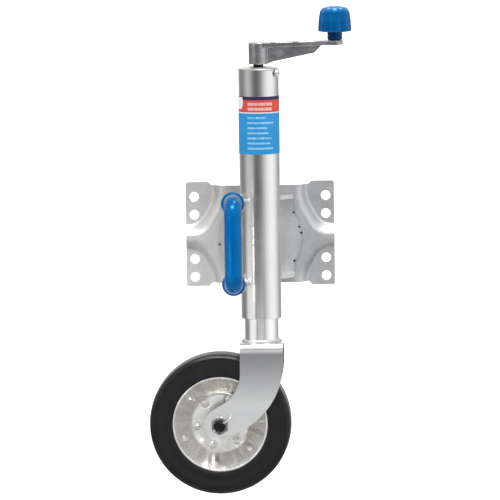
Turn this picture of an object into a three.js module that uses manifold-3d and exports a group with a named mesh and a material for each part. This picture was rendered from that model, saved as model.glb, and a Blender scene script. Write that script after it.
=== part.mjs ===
// Swing-up jockey stand for a caravan drawbar.
// Millimetres, +Z up. The front faces -Y. The origin is on the swivel pivot's axis, in the plane
// of the mounting pads' back faces. Outlines of upright plates are drawn in X and Z.
import * as THREE from 'three';
import Module from 'manifold-3d';
import { mergeVertices } from 'three/addons/utils/BufferGeometryUtils.js';

const wasm = await Module();
wasm.setup();

// Clearances
const gap = 0.3;            // between two pieces that touch, slide or turn on each other
const pinPlay = 0.35;       // radial play of a pin, rod or bolt in its hole
const through = 1;          // how far a cutting tool runs past the face it cuts
const overlap = 2;          // how far two joined bodies run into each other

// Smoothness of round pieces, in flat sides
const tubeSides = 36;
const boltSides = 20;
const smallSides = 12;

// Leg tubes
const tubeDiameter = 57;
const tubeWall = 3;
const tubeLength = 350.4;
const tubeBelowPivot = 109.6;
const headRoom = 0.8;       // from the pivot bolt's head to the tube
const innerWall = 2.5;
const innerDrop = 72;       // from the outer tube's top down to the inner tube's
const innerShown = 33.4;    // from the outer tube's end down to the fork
const bushWall = 0.9;
const bushLength = 30;

// Mounting plate
const plateWidth = 210;
const padTop = 77.8;
const padBottom = -70;
const plateCentreTop = 73.5;
const plateCentreBottom = -65;
const notchOuter = 73;
const notchInner = 68.5;
const plateSheet = 4;
const plateRise = 14;
const rampWidth = 14;
const padInnerX = 66;
const padInnerZ = 16.8;
const padCornerZ = 52.5;
const padSlope = THREE.MathUtils.degToRad(60);
const padCurve = 17.7;
const boltHoleDiameter = 13.5;
const boltHoleX = 93;
const boltHoleHeights = [-57, -31.5, 31.5, 57];

// Swivel pivot
const pivotDiameter = 20;
const pivotHeadDiameter = 40;
const pivotHeadHeight = 5.4;
const pivotHeadCrown = 0.7;     // the crown's share of the head's width
const pivotHeadCone = 0.6;      // the cone's share of the head's height
const pivotEndInset = 1;
const thrustWasherDiameter = 70;
const thrustWasherSheet = 1.4;
const pivotWasherDiameter = 44;
const pivotWasherSheet = 2.5;
const pivotNutWidth = 30;
const pivotNutHeight = 9;

// Swivel bracket
const bracketSheet = 5;
const bracketHalfWidth = 47;
const bracketDiscRadius = 58;
const bracketTop = 60.6;
const bracketBottom = -55.8;
const earSetback = 20;
const saddleDepth = 6;
const saddleReach = 0.8;    // how far round the tube the flanges reach, as a share of its radius

// Lock and its pull handle
const handleOffset = 10;
const handleTop = 54;
const handleBottom = -59.7;
const gripDiameter = 25;
const gripReach = 40;
const gripBend = 15;
const collarDiameter = 33;
const collarThickness = 7;
const rodDiameter = 10;
const rodEndDiameter = 8;
const rodGripDepth = 16;
const lugSheet = 4;
const lugWidth = 24;
const lugReach = 15;
const lugForward = 12;
const lugRoot = 0.5;        // where a lug ends on the tube, as a share of its radius
const barSheet = 6;
const barWidth = 16;
const barClearance = 9;
const barEnd = 10;
const barRoom = 1.2;        // from the lock bar to the bracket's flanges beside it
const lockPinDiameter = 12;
const lockPinNeck = 8;
const lockPinHead = 13;
const lockPinHeadHeight = 2.5;
const lockPinChamfer = 1.5;
const lockPinSpread = 26;
const springDiameter = 17;
const springWire = 2;
const springTurns = 5;
const springSteps = 8;
const rodNutWidth = 15;
const rodNutHeight = 4.6;

// Lead screw, its bearing and its nut
const screwDiameter = 14;
const screwEndRoom = 34.6;      // from the outer tube's end up to the screw's
const screwCollarDiameter = 30;
const screwCollarHeight = 7;
const bearingDiameter = 36;
const bearingHeight = 8;
const capSpigot = 8;
const capFlange = 1;
const capDome = 2.6;
const capDomeRim = 0.7;         // the share of the dome's height that it rises at its rim
const capCrown = 3;
const capLip = 0.7;
const capBushDiameter = 19;
const capRivetDiameter = 5;
const capRivetHead = 10;
const capRivetHeight = 4.5;
const capRivetDrop = 4.6;
const capRivetInside = 5;
const capRivetAngle = THREE.MathUtils.degToRad(-33);
const nutFlange = 6;
const nutNeck = 20;

// Crank arm and knob
const hubLift = 3.3;
const hubHeight = 30.3;
const hubDiameter = 27;
const hubBoreDepth = 20;
const crankReach = 107.7;
const crankSheet = 6;
const crankRise = 1.6;
const crankTipRadius = 11;
const crankRibThickness = 9;
const crankRibEnd = 18.5;
const crankRibTip = 10.4;
const crankRibLift = 1.3;
const rollPinInset = 0.5;
const rollPinDiameter = 4;
const rollPinHeight = 10;
const knobPinDiameter = 10;
const knobDiameter = 47;
const knobHeight = 35.8;
const knobBore = 0.6;           // the bore's share of the knob's height
const knobRim = 1.5;
const knobNeckChamfer = 1;
const knobNeckDiameter = 21;
const knobNeckHeight = 12;
const knobLobes = 8;
const knobLobeDepth = 1.6;

// Caster fork
const forkSheet = 5;
const forkWidth = 60.6;
const trail = 59.3;
const forkOuterBend = 105.5;
const forkInnerBend = 49.7;
const forkSlope = THREE.MathUtils.degToRad(30);
const forkEndRadius = 20;
const forkEndBack = 1;
const forkEndLift = 3;
const casterTurn = THREE.MathUtils.degToRad(-2.2);

// Wheel and axle
const wheelDiameter = 200;
const tyreWidth = 52;
const tyreSideRoom = 2;
const tyreTopRoom = 10;
const tyreBulge = 2;            // how far the tyre stands out past the rim on each side
const tyreFit = 0.4;
const tyreShoulder = 5.5;
const rimDiameter = 134;
const rimDiscRadius = 42;
const rimSheet = 2;
const rimLip = 2.6;
const rimLipTuck = 0.45;        // shares of the sheet that keep the cone as thick as the disc
const rimConeShift = 0.6;
const tyreRoot = 0.8;
const wheelHubDiameter = 26;
const wheelBushWall = 2.2;
const wheelBushFlange = 0.9;
const wheelBushInset = 0.5;
const wheelBushLength = 14;
const axleDiameter = 15;
const axleHead = 22;
const axleHeadHeight = 4.7;
const axleEnd = 20;
const axleChamfer = 1;
const axleWasherDiameter = 24;
const axleWasherSheet = 2.2;
const axleNutWidth = 22;
const axleNutHeight = 8;
const splitPinWire = 2.6;
const splitPinLength = 22;
const splitPinEye = 4.5;
const splitPinAngle = THREE.MathUtils.degToRad(38);
const rivetCount = 6;
const rivetCircle = 34;
const rivetDiameter = 5;
const rivetHead = 9;
const rivetHeadHeight = 2.4;
const rivetPhase = THREE.MathUtils.degToRad(10);

// Label
const labelDrop = 36.8;
const labelRoom = 57;       // from the upper lug up to the label
const labelSheet = 0.3;
const labelStart = THREE.MathUtils.degToRad(168);
const labelSweep = THREE.MathUtils.degToRad(200);

// Places that follow from the sizes above
const tubeRadius = tubeDiameter / 2;
const tubeBore = tubeRadius - tubeWall;
const tubeBottom = -tubeBelowPivot;
const tubeTop = tubeBottom + tubeLength;
const innerRadius = tubeBore - gap - bushWall - gap;
const innerBore = innerRadius - innerWall;
const innerTop = tubeTop - innerDrop;
const forkTop = tubeBottom - innerShown;
const plateFront = -(plateSheet + plateRise);
const webBack = plateFront - thrustWasherSheet - 2 * gap;
const webFront = webBack - bracketSheet;
const legForward = pivotHeadHeight + gap - webFront + headRoom + tubeRadius;
const handleX = -(tubeRadius + handleOffset);
const barFront = webFront - barClearance - barSheet;
const barBack = barFront + barSheet;
const lugFront = -(legForward + lugForward + lugSheet);
const collarBack = lugFront - lugSheet;
const gripY = collarBack - gripReach + gripDiameter / 2;
const capTop = tubeTop + gap + capFlange + capDome;
const hubBottom = capTop + hubLift;
const hubTop = hubBottom + hubHeight;
const crankTopAtKnob = hubTop + crankRise;
const bearingTop = tubeTop - capSpigot - gap;
const collarTop = bearingTop - bearingHeight - gap;
const screwTop = hubBottom + hubBoreDepth;
const screwBottom = tubeBottom + screwEndRoom;
const knobBottom = crankTopAtKnob + gap + knobNeckHeight + gap;
const axleDrop = wheelDiameter / 2 + tyreTopRoom + forkSheet;
const axleZ = forkTop - axleDrop;
const forkInside = tyreWidth + 2 * tyreSideRoom;
const forkHalfOuter = forkInside / 2 + forkSheet;
const rimDepth = tyreWidth / 2 - tyreBulge;
const wheelHubLength = forkInside - 2 * (gap + wheelBushFlange + gap);
const labelTop = tubeTop - labelDrop;
const labelBottom = handleTop + lugWidth / 2 + labelRoom;
const axleNutBack = -(forkHalfOuter + gap + axleWasherSheet + gap);
const splitPinY = axleNutBack - axleNutHeight - gap - pinPlay - splitPinWire / 2;

const finish = {
  galvanised: { color: 0xb9bcbc, roughness: 0.45, metalness: 0.85 },
  zinc: { color: 0xc9c7c0, roughness: 0.35, metalness: 0.9 },
  cast: { color: 0x9a9a9c, roughness: 0.5, metalness: 0.8 },
  steel: { color: 0x8d8f93, roughness: 0.4, metalness: 0.9 },
  black: { color: 0x1c1c1f, roughness: 0.45, metalness: 0.6 },
  bronze: { color: 0xa07a3c, roughness: 0.4, metalness: 0.85 },
  blue: { color: 0x0068b5, roughness: 0.25, metalness: 0 },
  navy: { color: 0x101a33, roughness: 0.5, metalness: 0 },
  rubber: { color: 0x18181a, roughness: 0.5, metalness: 0 },
  nylon: { color: 0xdedbd0, roughness: 0.55, metalness: 0 },
  print: { color: 0x35a0d8, roughness: 0.3, metalness: 0 },
};

// A closed geometry as a solid that can be joined and cut.
function solid(geometry) {
  const bare = geometry.clone();
  bare.deleteAttribute('normal');
  bare.deleteAttribute('uv');
  const merged = mergeVertices(bare, 1e-4);
  const corners = merged.index.array;
  const kept = [];
  for (let i = 0; i < corners.length; i += 3) {
    const [a, b, c] = corners.slice(i, i + 3);
    if (a !== b && b !== c && c !== a) kept.push(a, b, c);
  }
  const vertProperties = new Float32Array(merged.attributes.position.array);
  const triVerts = new Uint32Array(kept);
  return new wasm.Manifold(new wasm.Mesh({ numProp: 3, vertProperties, triVerts }));
}

// A joined or cut solid as a geometry again.
function surface(body) {
  const mesh = body.getMesh();
  const geometry = new THREE.BufferGeometry();
  geometry.setAttribute('position', new THREE.BufferAttribute(mesh.vertProperties, 3));
  geometry.setIndex(new THREE.BufferAttribute(mesh.triVerts, 1));
  geometry.computeVertexNormals();
  return geometry;
}

// One body with several others cut from it.
function cut(body, tools) {
  return tools.reduce((left, tool) => left.subtract(solid(tool)), solid(body));
}

// Several bodies joined into one.
function join(bodies) {
  return bodies.map(solid).reduce((sum, body) => sum.add(body));
}

// A profile of [radius, height] points turned about Y, listed up the outside first.
function turnedY(profile, sides) {
  const points = profile.map(([radius, height]) => new THREE.Vector2(radius, height));
  return new THREE.LatheGeometry(points, sides);
}

// The same, turned about Z.
function turnedZ(profile, sides) {
  return turnedY(profile, sides).rotateX(Math.PI / 2);
}

// A ring, washer or tube profile.
function ringProfile(outer, bore, low, high) {
  return [[bore, low], [outer, low], [outer, high], [bore, high], [bore, low]];
}

// A solid pin's profile.
function pinProfile(radius, low, high) {
  return [[0, low], [radius, low], [radius, high], [0, high]];
}

// An outline in X and Z, thick in Y from front to back.
function upright(shape, front, back, curveSegments = 12) {
  const settings = { depth: back - front, bevelEnabled: false, curveSegments };
  return new THREE.ExtrudeGeometry(shape, settings).rotateX(Math.PI / 2).translate(0, back, 0);
}

// An outline in X and Y, thick in Z from low to high.
function level(shape, low, high, curveSegments = 12) {
  const settings = { depth: high - low, bevelEnabled: false, curveSegments };
  return new THREE.ExtrudeGeometry(shape, settings).translate(0, 0, low);
}

// A closed outline through straight points.
function outline(points) {
  return new THREE.Shape(points.map(([x, z]) => new THREE.Vector2(x, z)));
}

// A box between two corners.
function block(low, high) {
  const size = high.map((value, i) => value - low[i]);
  const middle = high.map((value, i) => (value + low[i]) / 2);
  return new THREE.BoxGeometry(...size).translate(...middle);
}

// A round cutter along Y through x, z.
function drillY(radius, x, z, front, back, sides = boltSides) {
  return turnedY(pinProfile(radius, front, back), sides).translate(x, 0, z);
}

// A round cutter along Z on the leg's own axis.
function drillZ(radius, low, high, sides = boltSides) {
  return turnedZ(pinProfile(radius, low, high), sides);
}

// A hexagon nut along Y, its bore on the axis.
function hexNut(width, height, bore, front) {
  const corner = width / 2 / Math.cos(Math.PI / 6);
  const body = new THREE.CylinderGeometry(corner, corner, height, 6).translate(0, front + height / 2, 0);
  return cut(body, [drillY(bore, 0, 0, front - through, front + height + through)]);
}

// ---------------------------------------------------------------- mounting plate and pivot

// The plate's edge: two side pads a little taller than the centre.
function plateOutline() {
  const side = plateWidth / 2;
  return outline([
    [side, padBottom],
    [side, padTop],
    [notchOuter, padTop],
    [notchInner, plateCentreTop],
    [-notchInner, plateCentreTop],
    [-notchOuter, padTop],
    [-side, padTop],
    [-side, padBottom],
    [-notchOuter, padBottom],
    [-notchInner, plateCentreBottom],
    [notchInner, plateCentreBottom],
    [notchOuter, padBottom],
  ]);
}

// The foot of the pressed ramp in one quarter, from the top edge round to the side edge.
function rampFootQuarter(beyond) {
  const tangent = padCurve * Math.tan(padSlope / 2);
  const cornerX = padInnerX + (padCornerZ - padInnerZ) / Math.tan(padSlope);
  const centre = [cornerX + tangent, padInnerZ + padCurve];
  const points = [[padInnerX, beyond], [padInnerX, padCornerZ]];
  const steps = 4;
  for (let i = 0; i <= steps; i += 1) {
    const angle = 1.5 * Math.PI - padSlope * (1 - i / steps);
    points.push([centre[0] + padCurve * Math.cos(angle), centre[1] + padCurve * Math.sin(angle)]);
  }
  points.push([beyond, padInnerZ]);
  return points;
}

// The raised part of the plate: flat on top, with a straight ramp down to the pads all round.
function raisedPart(shiftBack) {
  const beyond = plateWidth;
  const quarter = rampFootQuarter(beyond);
  const back = [...quarter].reverse();
  const points = [
    ...quarter,
    ...back.map(([x, z]) => [x, -z]),
    ...quarter.map(([x, z]) => [-x, -z]),
    ...back.map(([x, z]) => [-x, z]),
  ];
  const settings = {
    depth: plateSheet,
    bevelEnabled: true,
    bevelThickness: plateRise,
    bevelSize: rampWidth,
    bevelOffset: -rampWidth,
    bevelSegments: 1,
  };
  const body = new THREE.ExtrudeGeometry(outline(points.reverse()), settings);
  return body.rotateX(Math.PI / 2).translate(0, shiftBack, 0);
}

// Places of the lock holes: each pin's place at every quarter turn.
function lockHolePlaces() {
  const places = [];
  for (const [x, z] of [[handleX, lockPinSpread], [handleX, -lockPinSpread]]) {
    for (let turn = 0; turn < 4; turn += 1) {
      const angle = turn * Math.PI / 2;
      places.push([
        x * Math.cos(angle) - z * Math.sin(angle),
        x * Math.sin(angle) + z * Math.cos(angle),
      ]);
    }
  }
  return places;
}

function mountingPlate() {
  const pads = upright(plateOutline(), -plateSheet, 0);
  const envelope = upright(plateOutline(), plateFront - through, 0);
  const blank = solid(pads).add(solid(raisedPart(0))).intersect(solid(envelope));
  const tools = [drillY(pivotDiameter / 2 + pinPlay, 0, 0, plateFront - through, through)];
  for (const [x, z] of lockHolePlaces()) {
    tools.push(drillY(lockPinDiameter / 2 + pinPlay, x, z, plateFront - through, through, smallSides));
  }
  for (const z of boltHoleHeights) {
    for (const x of [-boltHoleX, boltHoleX]) {
      tools.push(drillY(boltHoleDiameter / 2, x, z, plateFront - through, through, smallSides));
    }
  }
  return tools.reduce((left, tool) => left.subtract(solid(tool)), blank.subtract(solid(raisedPart(plateSheet))));
}

function pivotBolt() {
  const headBack = webFront - gap;
  const headFront = headBack - pivotHeadHeight;
  const head = pivotHeadDiameter / 2;
  return turnedY([
    [0, headFront],
    [head * pivotHeadCrown, headFront],
    [head, headFront + pivotHeadHeight * pivotHeadCone],
    [head, headBack],
    [pivotDiameter / 2, headBack],
    [pivotDiameter / 2, -pivotEndInset],
    [0, -pivotEndInset],
  ], boltSides);
}

function pivotWasher() {
  const front = plateFront + plateSheet + gap;
  return turnedY(
    ringProfile(pivotWasherDiameter / 2, pivotDiameter / 2 + pinPlay, front, front + pivotWasherSheet),
    boltSides,
  );
}

function pivotNut() {
  const front = plateFront + plateSheet + gap + pivotWasherSheet + gap;
  return hexNut(pivotNutWidth, pivotNutHeight, pivotDiameter / 2 + pinPlay, front);
}

function thrustWasher() {
  const back = plateFront - gap;
  return turnedY(
    ringProfile(thrustWasherDiameter / 2, pivotDiameter / 2 + pinPlay, back - thrustWasherSheet, back),
    boltSides,
  );
}

// ---------------------------------------------------------------- swivel bracket and leg

// One flange of the bracket, from the web to the tube. It is cut short beside the lock bar.
function bracketFlange(low, high) {
  const tubeSide = -(legForward - saddleDepth);
  const barSide = handleX + barWidth / 2 + barRoom;
  const shape = outline([
    [bracketHalfWidth, webBack],
    [barSide, webBack],
    [barSide, tubeSide + saddleDepth * 2],
    [-tubeRadius * saddleReach, tubeSide],
    [tubeRadius + gap, tubeSide],
    [bracketHalfWidth, tubeSide + earSetback],
  ].reverse());
  return level(shape, low, high);
}

function swivelBracket() {
  const web = outline([
    [bracketHalfWidth, bracketBottom],
    [bracketHalfWidth, bracketTop],
    [-bracketHalfWidth, bracketTop],
    [-bracketHalfWidth, bracketBottom],
  ]);
  const disc = drillY(bracketDiscRadius, 0, 0, webFront, webBack, tubeSides);
  const body = join([
    upright(web, webFront, webBack),
    disc,
    bracketFlange(bracketTop - bracketSheet, bracketTop),
    bracketFlange(bracketBottom, bracketBottom + bracketSheet),
  ]);
  const front = webFront - through;
  const back = webBack + through;
  const tools = [
    drillY(pivotDiameter / 2 + pinPlay, 0, 0, front, back),
    drillY(lockPinDiameter / 2 + pinPlay, handleX, lockPinSpread, front, back, smallSides),
    drillY(lockPinDiameter / 2 + pinPlay, handleX, -lockPinSpread, front, back, smallSides),
    drillZ(tubeRadius + gap, tubeBottom, tubeTop, tubeSides).translate(0, -legForward, 0),
  ];
  return tools.reduce((left, tool) => left.subtract(solid(tool)), body);
}

// The hole for the rivet that holds the cap, pointing out of the tube's side.
function capRivetHole(radius) {
  return turnedZ(pinProfile(radius, tubeBore / 2, tubeRadius + capLip + through), smallSides)
    .rotateY(Math.PI / 2)
    .rotateZ(capRivetAngle)
    .translate(0, 0, tubeTop - capRivetDrop);
}

function outerTube() {
  const blank = turnedZ(ringProfile(tubeRadius, tubeBore, tubeBottom, tubeTop), tubeSides);
  return cut(blank, [capRivetHole(capRivetDiameter / 2 + pinPlay)]);
}

function tubeCap() {
  const low = tubeTop - capSpigot;
  const rim = tubeTop + gap;
  const bore = capBushDiameter / 2 + gap;
  const blank = turnedZ([
    [bore, low],
    [tubeBore - gap, low],
    [tubeBore - gap, rim],
    [tubeRadius + capLip, rim],
    [tubeRadius + capLip, rim + capFlange],
    [tubeRadius - capDome, rim + capFlange + capDome * capDomeRim],
    [bore + capCrown, capTop],
    [bore, capTop],
    [bore, low],
  ], tubeSides);
  return cut(blank, [capRivetHole(capRivetDiameter / 2 + pinPlay)]);
}

function capBush() {
  return turnedZ(
    ringProfile(capBushDiameter / 2, screwDiameter / 2 + pinPlay, tubeTop - capSpigot, capTop),
    boltSides,
  );
}

function capRivet() {
  const shank = capRivetDiameter / 2;
  const head = capRivetHead / 2;
  const back = tubeRadius + capLip + gap;
  return turnedZ([
    [0, tubeBore - capRivetInside],
    [shank, tubeBore - capRivetInside],
    [shank, back],
    [head, back],
    [head, back + capRivetHeight * 0.45],
    [head * 0.7, back + capRivetHeight * 0.85],
    [0, back + capRivetHeight],
  ], smallSides)
    .rotateY(Math.PI / 2)
    .rotateZ(capRivetAngle)
    .translate(0, 0, tubeTop - capRivetDrop);
}

function thrustBearing() {
  return turnedZ(
    ringProfile(bearingDiameter / 2, screwDiameter / 2 + pinPlay, bearingTop - bearingHeight, bearingTop),
    boltSides,
  );
}

function guideBush() {
  return turnedZ(
    ringProfile(tubeBore - gap, innerRadius + gap, tubeBottom, tubeBottom + bushLength),
    tubeSides,
  );
}

function label() {
  const inside = tubeRadius + gap;
  const outside = inside + labelSheet;
  const end = labelStart + labelSweep;
  const shape = new THREE.Shape();
  shape.absarc(0, 0, outside, labelStart, end, false);
  shape.absarc(0, 0, inside, end, labelStart, true);
  return level(shape, labelBottom, labelTop, tubeSides / 2);
}

// A lug on the tube's side that one pull rod slides in.
function handleLug(rodZ) {
  const shape = outline([
    [0, rodZ - lugWidth / 2],
    [0, rodZ + lugWidth / 2],
    [handleX - lugReach, rodZ + lugWidth / 2],
    [handleX - lugReach, rodZ - lugWidth / 2],
  ]);
  const back = lugFront + lugSheet;
  const tube = drillZ(tubeRadius + gap, rodZ - lugWidth, rodZ + lugWidth, tubeSides);
  const clear = block([-tubeRadius * lugRoot, lugFront - through, rodZ - lugWidth], [tubeRadius, 0, rodZ + lugWidth]);
  return cut(upright(shape, lugFront, back), [
    tube.translate(0, -legForward, 0),
    clear,
    drillY(rodDiameter / 2 + pinPlay, handleX, rodZ, lugFront - through, back + through),
  ]);
}

// ---------------------------------------------------------------- lock and pull handle

// The centre line of the grip: out of the upper lug, down and back into the lower one.
// Each point is [y, z, heading].
function gripLine() {
  const centreY = gripY + gripBend;
  const steps = 6;
  const line = [[collarBack, handleTop, Math.PI]];
  for (const [centreZ, start] of [[handleTop - gripBend, Math.PI / 2], [handleBottom + gripBend, Math.PI]]) {
    for (let i = 0; i <= steps; i += 1) {
      const angle = start + (i / steps) * (Math.PI / 2);
      const y = centreY + gripBend * Math.cos(angle);
      const z = centreZ + gripBend * Math.sin(angle);
      line.push([y, z, angle + Math.PI / 2]);
    }
  }
  line.push([collarBack, handleBottom, 2 * Math.PI]);
  return line;
}

// A round bar along a line in the plane x = 0, its rings square to the line.
function bentBar(line, radius, sides) {
  const places = [];
  const corners = [];
  for (const [y, z, heading] of line) {
    for (let k = 0; k < sides; k += 1) {
      const angle = (k / sides) * 2 * Math.PI;
      const inward = radius * Math.cos(angle);
      places.push(radius * Math.sin(angle), y - inward * Math.sin(heading), z + inward * Math.cos(heading));
    }
  }
  const start = line.length * sides;
  places.push(0, line[0][0], line[0][1]);
  places.push(0, line[line.length - 1][0], line[line.length - 1][1]);
  for (let k = 0; k < sides; k += 1) {
    const next = (k + 1) % sides;
    for (let i = 0; i < line.length - 1; i += 1) {
      const near = i * sides;
      const far = near + sides;
      corners.push(near + k, near + next, far + next);
      corners.push(near + k, far + next, far + k);
    }
    corners.push(start, next, k);
    corners.push(start + 1, start - sides + k, start - sides + next);
  }
  const geometry = new THREE.BufferGeometry();
  geometry.setAttribute('position', new THREE.Float32BufferAttribute(places, 3));
  geometry.setIndex(corners);
  return geometry;
}

function handleGrip() {
  const collar = (z) => drillY(collarDiameter / 2, handleX, z, collarBack - collarThickness, collarBack);
  const body = join([
    bentBar(gripLine(), gripDiameter / 2, boltSides).translate(handleX, 0, 0),
    collar(handleTop),
    collar(handleBottom),
  ]);
  const holes = [handleTop, handleBottom].map((z) => drillY(
    rodDiameter / 2 + pinPlay,
    handleX,
    z,
    collarBack - rodGripDepth,
    collarBack + through,
    smallSides,
  ));
  return holes.reduce((left, tool) => left.subtract(solid(tool)), body);
}

function pullRod(z) {
  const end = barBack + gap + rodNutHeight + gap;
  return turnedY([
    [0, collarBack - rodGripDepth + gap],
    [rodDiameter / 2, collarBack - rodGripDepth + gap],
    [rodDiameter / 2, barFront - gap],
    [rodEndDiameter / 2, barFront - gap],
    [rodEndDiameter / 2, end],
    [0, end],
  ], smallSides).translate(handleX, 0, z);
}

function lockBar() {
  const shape = outline([
    [handleX + barWidth / 2, handleBottom - barEnd],
    [handleX + barWidth / 2, handleTop + barEnd],
    [handleX - barWidth / 2, handleTop + barEnd],
    [handleX - barWidth / 2, handleBottom - barEnd],
  ]);
  const holes = [
    [rodEndDiameter, handleTop],
    [rodEndDiameter, handleBottom],
    [lockPinNeck, lockPinSpread],
    [lockPinNeck, -lockPinSpread],
  ];
  return cut(upright(shape, barFront, barBack), holes.map(([diameter, z]) => drillY(
    diameter / 2 + pinPlay,
    handleX,
    z,
    barFront - through,
    barBack + through,
    smallSides,
  )));
}

function lockPin(z) {
  const nose = plateFront - gap;
  return turnedY([
    [0, barFront - gap - lockPinHeadHeight],
    [lockPinHead / 2, barFront - gap - lockPinHeadHeight],
    [lockPinHead / 2, barFront - gap],
    [lockPinNeck / 2, barFront - gap],
    [lockPinNeck / 2, barBack + gap],
    [lockPinDiameter / 2, barBack + gap],
    [lockPinDiameter / 2, nose - lockPinChamfer],
    [lockPinDiameter / 2 - lockPinChamfer, nose],
    [0, nose],
  ], smallSides).translate(handleX, 0, z);
}

// A coil spring round a pull rod, between its lug and the lock bar.
function lockSpring(z) {
  const radius = (springDiameter - springWire) / 2;
  const front = lugFront + lugSheet + springWire / 2 + gap;
  const back = barFront - springWire / 2 - gap;
  const turns = [];
  for (let i = 0; i <= springTurns * springSteps; i += 1) {
    const angle = (i / springSteps) * 2 * Math.PI;
    const y = front + (back - front) * (i / (springTurns * springSteps));
    turns.push(new THREE.Vector3(radius * Math.cos(angle), y, radius * Math.sin(angle)));
  }
  const wire = new THREE.Shape();
  wire.absarc(0, 0, springWire / 2, 0, Math.PI * 2, false);
  const settings = {
    steps: springTurns * springSteps,
    extrudePath: new THREE.CatmullRomCurve3(turns),
    curveSegments: 3,
  };
  return new THREE.ExtrudeGeometry(wire, settings).translate(handleX, 0, z);
}

function rodNut(z) {
  const nut = hexNut(rodNutWidth, rodNutHeight, rodEndDiameter / 2 + pinPlay, barBack + gap);
  return nut.translate([handleX, 0, z]);
}

// ---------------------------------------------------------------- crank and knob

function leadScrew() {
  const rod = turnedZ(pinProfile(screwDiameter / 2, screwBottom, screwTop - gap), boltSides);
  return cut(rod, [rollPinHole()]);
}

function rollPinHole() {
  const length = hubDiameter / 2 + through;
  return drillY(rollPinDiameter / 2 + pinPlay, 0, hubBottom + rollPinHeight, -length, length, smallSides);
}

function crankRollPin() {
  const half = hubDiameter / 2 - rollPinInset;
  return turnedY(pinProfile(rollPinDiameter / 2, -half, half), smallSides)
    .translate(0, 0, hubBottom + rollPinHeight);
}

function screwCollar() {
  return turnedZ(
    ringProfile(screwCollarDiameter / 2, screwDiameter / 2 + pinPlay, collarTop - screwCollarHeight, collarTop),
    boltSides,
  );
}

// A T-section arm: a flat strip on top, a rib that tapers below it, and a round hub.
function crankArm() {
  const hubRadius = hubDiameter / 2;
  const hub = turnedZ(pinProfile(hubRadius, hubBottom, hubTop), boltSides);
  const strip = new THREE.Shape();
  strip.absarc(0, 0, hubRadius - 1, Math.PI / 2, -Math.PI / 2, false);
  strip.absarc(crankReach, 0, crankTipRadius, -Math.PI / 2, Math.PI / 2, false);
  const slope = Math.atan2(crankRise, crankReach);
  const top = level(strip, -crankSheet, 0).rotateY(-slope).translate(0, 0, hubTop);
  const ribEnd = crankReach - crankRibEnd;
  const rib = outline([
    [0, hubBottom + crankRibLift],
    [ribEnd - crankRibTip, crankTopAtKnob - crankSheet - crankRibTip],
    [ribEnd, crankTopAtKnob - crankSheet],
    [ribEnd, crankTopAtKnob - crankSheet + overlap],
    [0, hubTop - crankSheet + overlap],
  ]);
  const body = join([hub, top, upright(rib, -crankRibThickness / 2, crankRibThickness / 2)]);
  const tools = [
    drillZ(screwDiameter / 2 + pinPlay, hubBottom - through, screwTop),
    rollPinHole(),
    drillZ(
      knobPinDiameter / 2 + pinPlay,
      crankTopAtKnob - 2 * crankSheet,
      crankTopAtKnob + crankSheet,
      smallSides,
    ).translate(crankReach, 0, 0),
  ];
  return tools.reduce((left, tool) => left.subtract(solid(tool)), body);
}

// The pin that the knob turns on, through the arm's end.
function knobPin() {
  const low = crankTopAtKnob - crankSheet - through;
  const high = knobBottom + knobHeight * knobBore;
  return turnedZ(pinProfile(knobPinDiameter / 2, low, high), smallSides).translate(crankReach, 0, 0);
}

function knobNeck() {
  const low = crankTopAtKnob + 2 * gap;
  const top = knobBottom - gap;
  const neck = knobNeckDiameter / 2;
  return turnedZ([
    [knobPinDiameter / 2 + pinPlay, low],
    [neck - knobNeckChamfer, low],
    [neck, low + knobNeckChamfer],
    [neck, top],
    [knobPinDiameter / 2 + pinPlay, top],
    [knobPinDiameter / 2 + pinPlay, low],
  ], boltSides);
}

// A tapered knob with lobes round its side and a domed top.
function crankKnob() {
  const wide = knobDiameter / 2;
  const blank = turnedZ([
    [0, knobBottom],
    [wide - knobRim, knobBottom],
    [wide, knobBottom + knobRim],
    [wide - 1.2, knobBottom + knobHeight * 0.45],
    [wide - 3, knobBottom + knobHeight * 0.78],
    [wide * 0.72, knobBottom + knobHeight * 0.93],
    [wide * 0.4, knobBottom + knobHeight * 0.99],
    [0, knobBottom + knobHeight],
  ], knobLobes * 4);
  const places = blank.attributes.position;
  for (let i = 0; i < places.count; i += 1) {
    const x = places.getX(i);
    const y = places.getY(i);
    const radius = Math.hypot(x, y);
    const wave = 0.5 - 0.5 * Math.cos(knobLobes * Math.atan2(y, x));
    const share = radius > 0 ? 1 - (knobLobeDepth * wave * Math.min(1, radius / wide)) / radius : 1;
    places.setXY(i, x * share, y * share);
  }
  const boreTop = knobBottom + knobHeight * knobBore + gap;
  return cut(blank, [drillZ(knobPinDiameter / 2 + pinPlay, knobBottom - through, boreTop, smallSides)]);
}

// ---------------------------------------------------------------- inner leg and caster

function driveNut() {
  const low = innerTop - nutNeck;
  const seat = innerTop + gap;
  return turnedZ([
    [screwDiameter / 2 + pinPlay, low],
    [innerBore - gap, low],
    [innerBore - gap, seat],
    [tubeBore - pinPlay, seat],
    [tubeBore - pinPlay, seat + nutFlange],
    [screwDiameter / 2 + pinPlay, seat + nutFlange],
    [screwDiameter / 2 + pinPlay, low],
  ], boltSides);
}

function innerTube() {
  return turnedZ(ringProfile(innerRadius, innerBore, forkTop + gap, innerTop), tubeSides);
}

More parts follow.
